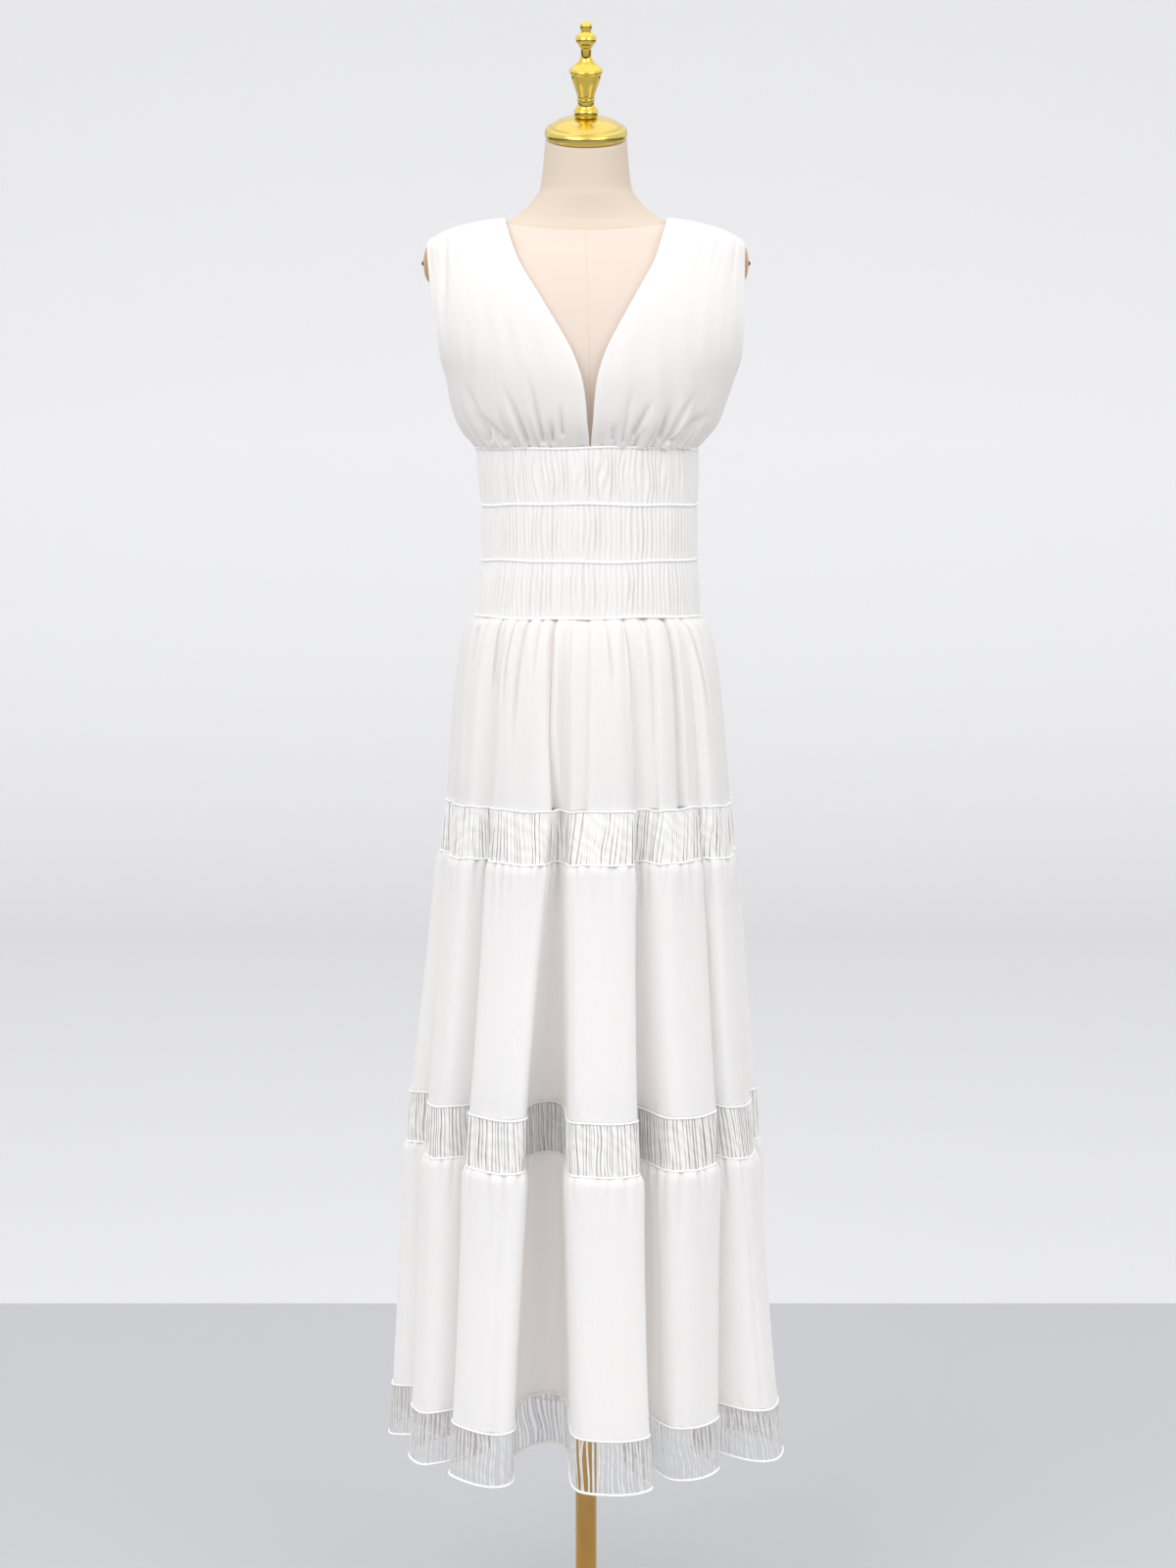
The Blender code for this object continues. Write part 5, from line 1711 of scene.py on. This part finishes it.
@dataclass(frozen=True)
class DressForm:
    """A jersey-covered torso with a neck cap, a finial and a plate and knob on each arm."""

    rows: int = 150
    columns: int = 160
    # From the top: the knob and its neck, the ball, the vase on its ring, and the collar at the foot.
    finial: tuple = (
        (0.0, 0.1046), (0.0028, 0.1041), (0.0050, 0.1029), (0.0064, 0.1014), (0.0067, 0.1000),
        (0.0066, 0.0980), (0.0061, 0.0962), (0.0055, 0.0946), (0.0054, 0.0936), (0.0060, 0.0927),
        (0.0080, 0.0913), (0.0098, 0.0897), (0.0111, 0.0878), (0.0116, 0.0856), (0.0113, 0.0834),
        (0.0103, 0.0815), (0.0088, 0.0800), (0.0078, 0.0792), (0.0079, 0.0780), (0.0072, 0.0770),
        (0.0061, 0.0764), (0.0059, 0.0735), (0.0059, 0.0690), (0.0062, 0.0658), (0.0072, 0.0630),
        (0.0094, 0.0600), (0.0130, 0.0567), (0.0165, 0.0540), (0.0183, 0.0523), (0.0188, 0.0511),
        (0.0186, 0.0498), (0.0178, 0.0484), (0.0170, 0.0472), (0.0169, 0.0462), (0.0163, 0.0434),
        (0.0148, 0.0388), (0.0128, 0.0333), (0.0109, 0.0275), (0.0097, 0.0237), (0.0092, 0.0222),
        (0.0095, 0.0208), (0.0100, 0.0198), (0.0097, 0.0188), (0.0093, 0.0180), (0.0091, 0.0150),
        (0.0094, 0.0125), (0.0106, 0.0104), (0.0124, 0.0090), (0.0133, 0.0074), (0.0134, 0.0052),
        (0.0134, 0.0030), (0.0128, 0.0012), (0.0117, 0.0), (0.0, 0.0),
    )
    # From the top: the dome, the groove round its foot and the bead of the rim.
    cap: tuple = (
        (0.0, CAP_HEIGHT), (0.0136, CAP_HEIGHT), (0.0150, 0.0236), (0.0190, 0.0231), (0.0235, 0.0222),
        (0.0280, 0.0208), (0.0322, 0.0190), (0.0358, 0.0170), (0.0386, 0.0150), (0.0398, 0.0137),
        (0.0402, 0.0130), (0.0410, 0.0127), (0.0428, 0.0124), (0.0440, 0.0117), (0.0450, 0.0103),
        (0.0456, 0.0086), (0.0458, 0.0066), (0.0457, 0.0046), (0.0452, 0.0028), (0.0444, 0.0012),
        (0.0433, 0.0), (0.0, 0.0),
    )
    cap_sides: int = 112
    finial_sides: int = 80
    # The plate's dome: share of its half sizes and height over its seat.
    plate: tuple = (
        (0.0, PLATE_RISE), (0.14, 0.0101), (0.30, 0.0098), (0.50, 0.0091), (0.68, 0.0081), (0.82, 0.0067),
        (0.92, 0.0051), (0.98, 0.0036), (1.0, 0.0024), (1.0, 0.0010), (0.98, 0.0), (0.0, 0.0),
    )
    plate_half: tuple = (0.0185, 0.0215)
    # The knob's dome: radius and height over the plate.
    knob: tuple = (
        (0.0, 0.0018), (0.0012, 0.0017), (0.0020, 0.0012), (0.0025, 0.0005), (0.0026, 0.0), (0.0, 0.0),
    )
    arm_sides: int = 64

    def build_torso(self, jersey: bpy.types.Material) -> None:
        """Build the torso as one smooth skin from its flat underside to the tilted neck.

        Args:
            jersey: Its material.
        """
        at = np.linspace(len(TORSO_RINGS) - 1, 0, self.rows)
        z, left, right, front, back, square = read_table(TORSO_RINGS, at).T[:, :, None]
        turn = math.tau * np.arange(self.columns)[None] / self.columns
        x, y = oval(left, right, front, back, turn, square)
        foot_z, top_z = TORSO_RINGS[-2][0], TORSO_RINGS[-1][0]
        tilt = math.tan(NECK_TILT) * np.clip((z - foot_z) / (top_z - foot_z), 0, 1)
        skin = np.stack((x, y, z + y * tilt), axis=2)
        ends = [np.broadcast_to(skin[k].mean(axis=0), (1, self.columns, 3)) for k in (0, -1)]
        mould = Mould.empty()
        mould.add_grid(np.concatenate((ends[0], skin, ends[1])), closed=True)
        mould.cast("jersey_torso", jersey, "beige_jersey", ["form_torso"])

    def build_top(self, brass: bpy.types.Material, satin: bpy.types.Material) -> None:
        """Build the neck cap and the finial, both square to the neck's tilted top.

        Args:
            brass: The finial's material.
            satin: The cap's material.
        """
        foot, slot = (0.0, 0.0, CAP_RIM_Z), "polished_gold"
        Turning("neck_cap_dome", "neck_cap", slot, self.cap, foot, NECK_TILT, self.cap_sides).build(satin)
        rise = CAP_HEIGHT + GAP
        foot = (0.0, -rise * math.sin(NECK_TILT), CAP_RIM_Z + rise * math.cos(NECK_TILT))
        Turning("turned_finial", "finial", slot, self.finial, foot, NECK_TILT, self.finial_sides).build(brass)

    def build_arm(self, side: Side, wood: bpy.types.Material, steel: bpy.types.Material) -> None:
        """Build one arm's domed oval plate and the knob on it.

        Args:
            side: The arm's side.
            wood: The plate's material.
            steel: The knob's material.
        """
        turn = side.value * math.tau * np.arange(self.arm_sides)[None] / self.arm_sides
        word = side.name.lower()
        knob_seat = PLATE_X + PLATE_RISE + GAP
        for name, profile, seat, half, finish, slot, node in (
            ("beech_plate", self.plate, PLATE_X, self.plate_half, wood, "tan_wood", "arm_plate"),
            ("steel_knob", self.knob, knob_seat, (1.0, 1.0), steel, "dark_metal", "arm_knob"),
        ):
            reach, height = np.array(profile).T[:, :, None]
            x = side.value * (seat + height) + 0 * turn
            y, z = -half[0] * reach * np.sin(turn), PLATE_Z + half[1] * reach * np.cos(turn)
            mould = Mould.empty()
            mould.add_grid(np.stack((x, y, z), axis=2), closed=True)
            mould.cast(f"{name}_{word}", finish, slot, [f"{node}_{word}"])

    def build(self, jersey: bpy.types.Material, brass: bpy.types.Material, satin: bpy.types.Material,
              wood: bpy.types.Material, steel: bpy.types.Material) -> None:
        """Build the whole form.

        Args:
            jersey: The torso's material.
            brass: The finial's material.
            satin: The neck cap's material.
            wood: The arm plates' material.
            steel: The knobs' material.
        """
        self.build_torso(jersey)
        self.build_top(brass, satin)
        for side in Side:
            self.build_arm(side, wood, steel)


@dataclass(frozen=True)
class Stand:
    """A brushed pole in a socket on a round base plate."""

    socket: tuple = (
        (0.0, SOCKET_HEIGHT), (0.0155, SOCKET_HEIGHT), (0.0172, 0.0496), (0.0180, 0.0484),
        (0.0180, 0.0140), (0.0186, 0.0105), (0.0205, 0.0078), (0.0240, 0.0062), (0.0325, 0.0046),
        (0.0338, 0.0038), (0.0340, 0.0026), (0.0340, 0.0), (0.0, 0.0),
    )
    plate: tuple = (
        (0.0, BASE_THICKNESS), (0.1565, BASE_THICKNESS), (0.1582, 0.0117), (0.1594, 0.0109),
        (0.1600, 0.0096), (0.1600, 0.0008), (0.1594, 0.0), (0.0, 0.0),
    )
    pole_sides: int = 48
    plate_sides: int = 128

    def build(self, brass: bpy.types.Material) -> None:
        """Build the pole, the socket and the plate.

        Args:
            brass: Their material.
        """
        foot = BASE_THICKNESS + GAP + SOCKET_HEIGHT + GAP
        top = TORSO_RINGS[0][0] - GAP
        pole = ((0.0, top), (POLE_RADIUS, top), (POLE_RADIUS, foot), (0.0, foot))
        Turning("brushed_pole", "pole", "brushed_gold", pole, sides=self.pole_sides).build(brass)
        seat = (0.0, 0.0, BASE_THICKNESS + GAP)
        Turning("turned_socket", "base_socket", "brushed_gold", self.socket, seat).build(brass)
        Turning("round_base", "base_plate", "brushed_gold", self.plate, sides=self.plate_sides).build(brass)


# ---------------------------------------------------------------- studio
class Lamp(NamedTuple):
    """A soft square lamp: its place, what it aims at, its side and its power."""

    name: str
    place: tuple
    aim: tuple
    side: float
    power: float


@dataclass(frozen=True)
class Studio:
    """A plain pale floor, a backdrop that sweeps up behind it, soft lamps and the camera."""

    # The backdrop lies flat from the floor's end, then curves up into a wall, far enough away that
    # the part can be seen from behind.
    floor_end: float = 1.58
    cove_start: float = 6.0
    cove_radius: float = 1.5
    cove_steps: int = 25
    reach: float = 6.0
    height: float = 5.0
    wall: str = "F8F7F8"
    # The backdrop's foot colour is painted shade, darker toward the floor.
    wall_foot_painted_shade: str = "D8D7D9"
    floor: str = "BABABD"
    lamps: tuple = (
        Lamp("key", (-1.4, -2.4, 2.8), (0.0, 0.0, 1.40), 1.9, 32.0),
        Lamp("fill", (1.7, -2.4, 2.6), (0.0, 0.0, 1.40), 2.1, 21.0),
        Lamp("top", (0.0, 0.2, 3.6), (0.0, 0.2, 0.0), 3.0, 12.0),
    )
    sky: tuple = (0.975, 0.988, 1.0)
    # Softboxes ring the room from eye height up; below them it is dark as far as the floor reaches.
    sky_low: float = 0.12
    sky_high: float = 1.13
    sky_rise: tuple = (-0.06, 0.03)
    # The camera's place, its pitch in degrees from straight down, and its lens and sensor in mm.
    eye: tuple = (0.0022, -3.6, 1.33)
    pitch: float = 84.8
    lens: float = 73.62
    sensor: float = 36.0

    def build(self) -> None:
        """Build the room, light it and set the camera."""
        self.build_room()
        for lamp in self.lamps:
            self.build_lamp(lamp)
        self.build_sky()
        self.build_camera()

    def build_room(self) -> None:
        """Build the floor and the backdrop."""
        wall_y = self.cove_start + self.cove_radius
        cove = [
            (self.cove_start + self.cove_radius * math.sin(turn), self.cove_radius * (1 - math.cos(turn)))
            for turn in np.linspace(0.0, math.pi / 2, self.cove_steps)
        ]
        flat = [(-self.reach, 0.0), (self.floor_end, 0.0)]
        sweep = [(self.floor_end, 0.0), *cove, (wall_y, self.height)]
        for name, colours, profile in (
            ("studio_floor", (self.floor, self.floor), flat),
            ("studio_backdrop", (self.wall_foot_painted_shade, self.wall), sweep),
        ):
            mesh = bpy.data.meshes.new(name)
            corners = [(x, y, z) for y, z in profile for x in (-self.reach, self.reach)]
            mesh.from_pydata(corners, [], grid_faces(len(profile), 2).tolist())
            mesh.shade_smooth()
            mesh.materials.append(Paint(f"{name}_emulsion", *colours).make())
            plane = bpy.data.objects.new(name, mesh)
            bpy.context.scene.collection.objects.link(plane)

    def build_lamp(self, lamp: Lamp) -> None:
        """Hang a lamp and aim it.

        Args:
            lamp: The lamp.
        """
        light = bpy.data.lights.new(lamp.name, "AREA")
        light.shape = "SQUARE"
        light.size = lamp.side
        light.energy = lamp.power
        stand = bpy.data.objects.new(f"{lamp.name}_lamp", light)
        stand.location = lamp.place
        stand.rotation_euler = (Vector(lamp.aim) - Vector(lamp.place)).to_track_quat("-Z", "Y").to_euler()
        bpy.context.scene.collection.objects.link(stand)

    def build_sky(self) -> None:
        """Ring the room with soft light, bright above eye height and dim below."""
        world = bpy.data.worlds.new("studio_sky")
        world.use_nodes = True
        tree = world.node_tree
        tree.nodes.clear()
        toward = add_node(tree, "ShaderNodeTexCoord").outputs["Generated"]
        height = add_node(tree, "ShaderNodeSeparateXYZ", links={0: toward}).outputs[2]
        low, high = self.sky_rise
        strength = add_node(
            tree, "ShaderNodeMapRange",
            {"interpolation_type": "SMOOTHSTEP", "From Min": low, "From Max": high, "To Min": self.sky_low,
             "To Max": self.sky_high},
            {"Value": height},
        )
        sky = add_node(
            tree, "ShaderNodeBackground", {"Color": (*self.sky, 1.0)}, {"Strength": strength.outputs[0]}
        )
        add_node(tree, "ShaderNodeOutputWorld", links={"Surface": sky.outputs[0]})
        bpy.context.scene.world = world

    def build_camera(self) -> None:
        """Set the camera up in front of the dress."""
        data = bpy.data.cameras.new("camera")
        data.lens = self.lens
        data.sensor_width = self.sensor
        camera = bpy.data.objects.new("camera", data)
        camera.location = self.eye
        camera.rotation_euler = (math.radians(self.pitch), 0.0, 0.0)
        bpy.context.scene.collection.objects.link(camera)
        bpy.context.scene.camera = camera
        bpy.context.scene.view_settings.view_transform = "Standard"


def main() -> None:
    """Build the studio, the form and the dress."""
    logging.basicConfig(level=logging.INFO, format="%(message)s")
    Studio().build()
    crepe, thread, jersey = Crepe().make(), Thread().make(), Jersey().make()
    # Four layers of cloth rolled round a string let far less light through than one.
    piping = Crepe("rolled_georgette", "FFFFFF", "FCFCFC", see_through=0.12).make()
    # Shirring packs the cloth, so it lets less light through.
    shirred = Crepe("shirred_georgette", "FBF9F8", "F0EDEB", "F8F2EC", 0.16).make()
    polished = Metal("polished_brass", "E0C25A", 0.09).make()
    satin = Metal("satin_brass", "D3BB67", 0.22).make()
    brushed = Metal("brushed_brass", "D8BC84", 0.56, brushed=(1.0, 1.0, 0.03), relief=0.25).make()
    steel = Metal("bronzed_steel", "5E4A3C", 0.40).make()
    DressForm().build(jersey, polished, satin, Wood().make(), steel)
    Stand().build(brushed)
    Bodice().build(crepe)
    Waistband().build(shirred, piping)
    # The hem's single layer of thread is looser and thinner, and its thread is drawn greyer, a painted shade.
    fringe = Thread("loose_floss_painted_shade", "EDEDEE", "E2E2E3", 0.35).make()
    Skirt().build(crepe, piping, thread, fringe)


if __name__ == "__main__":
    main()
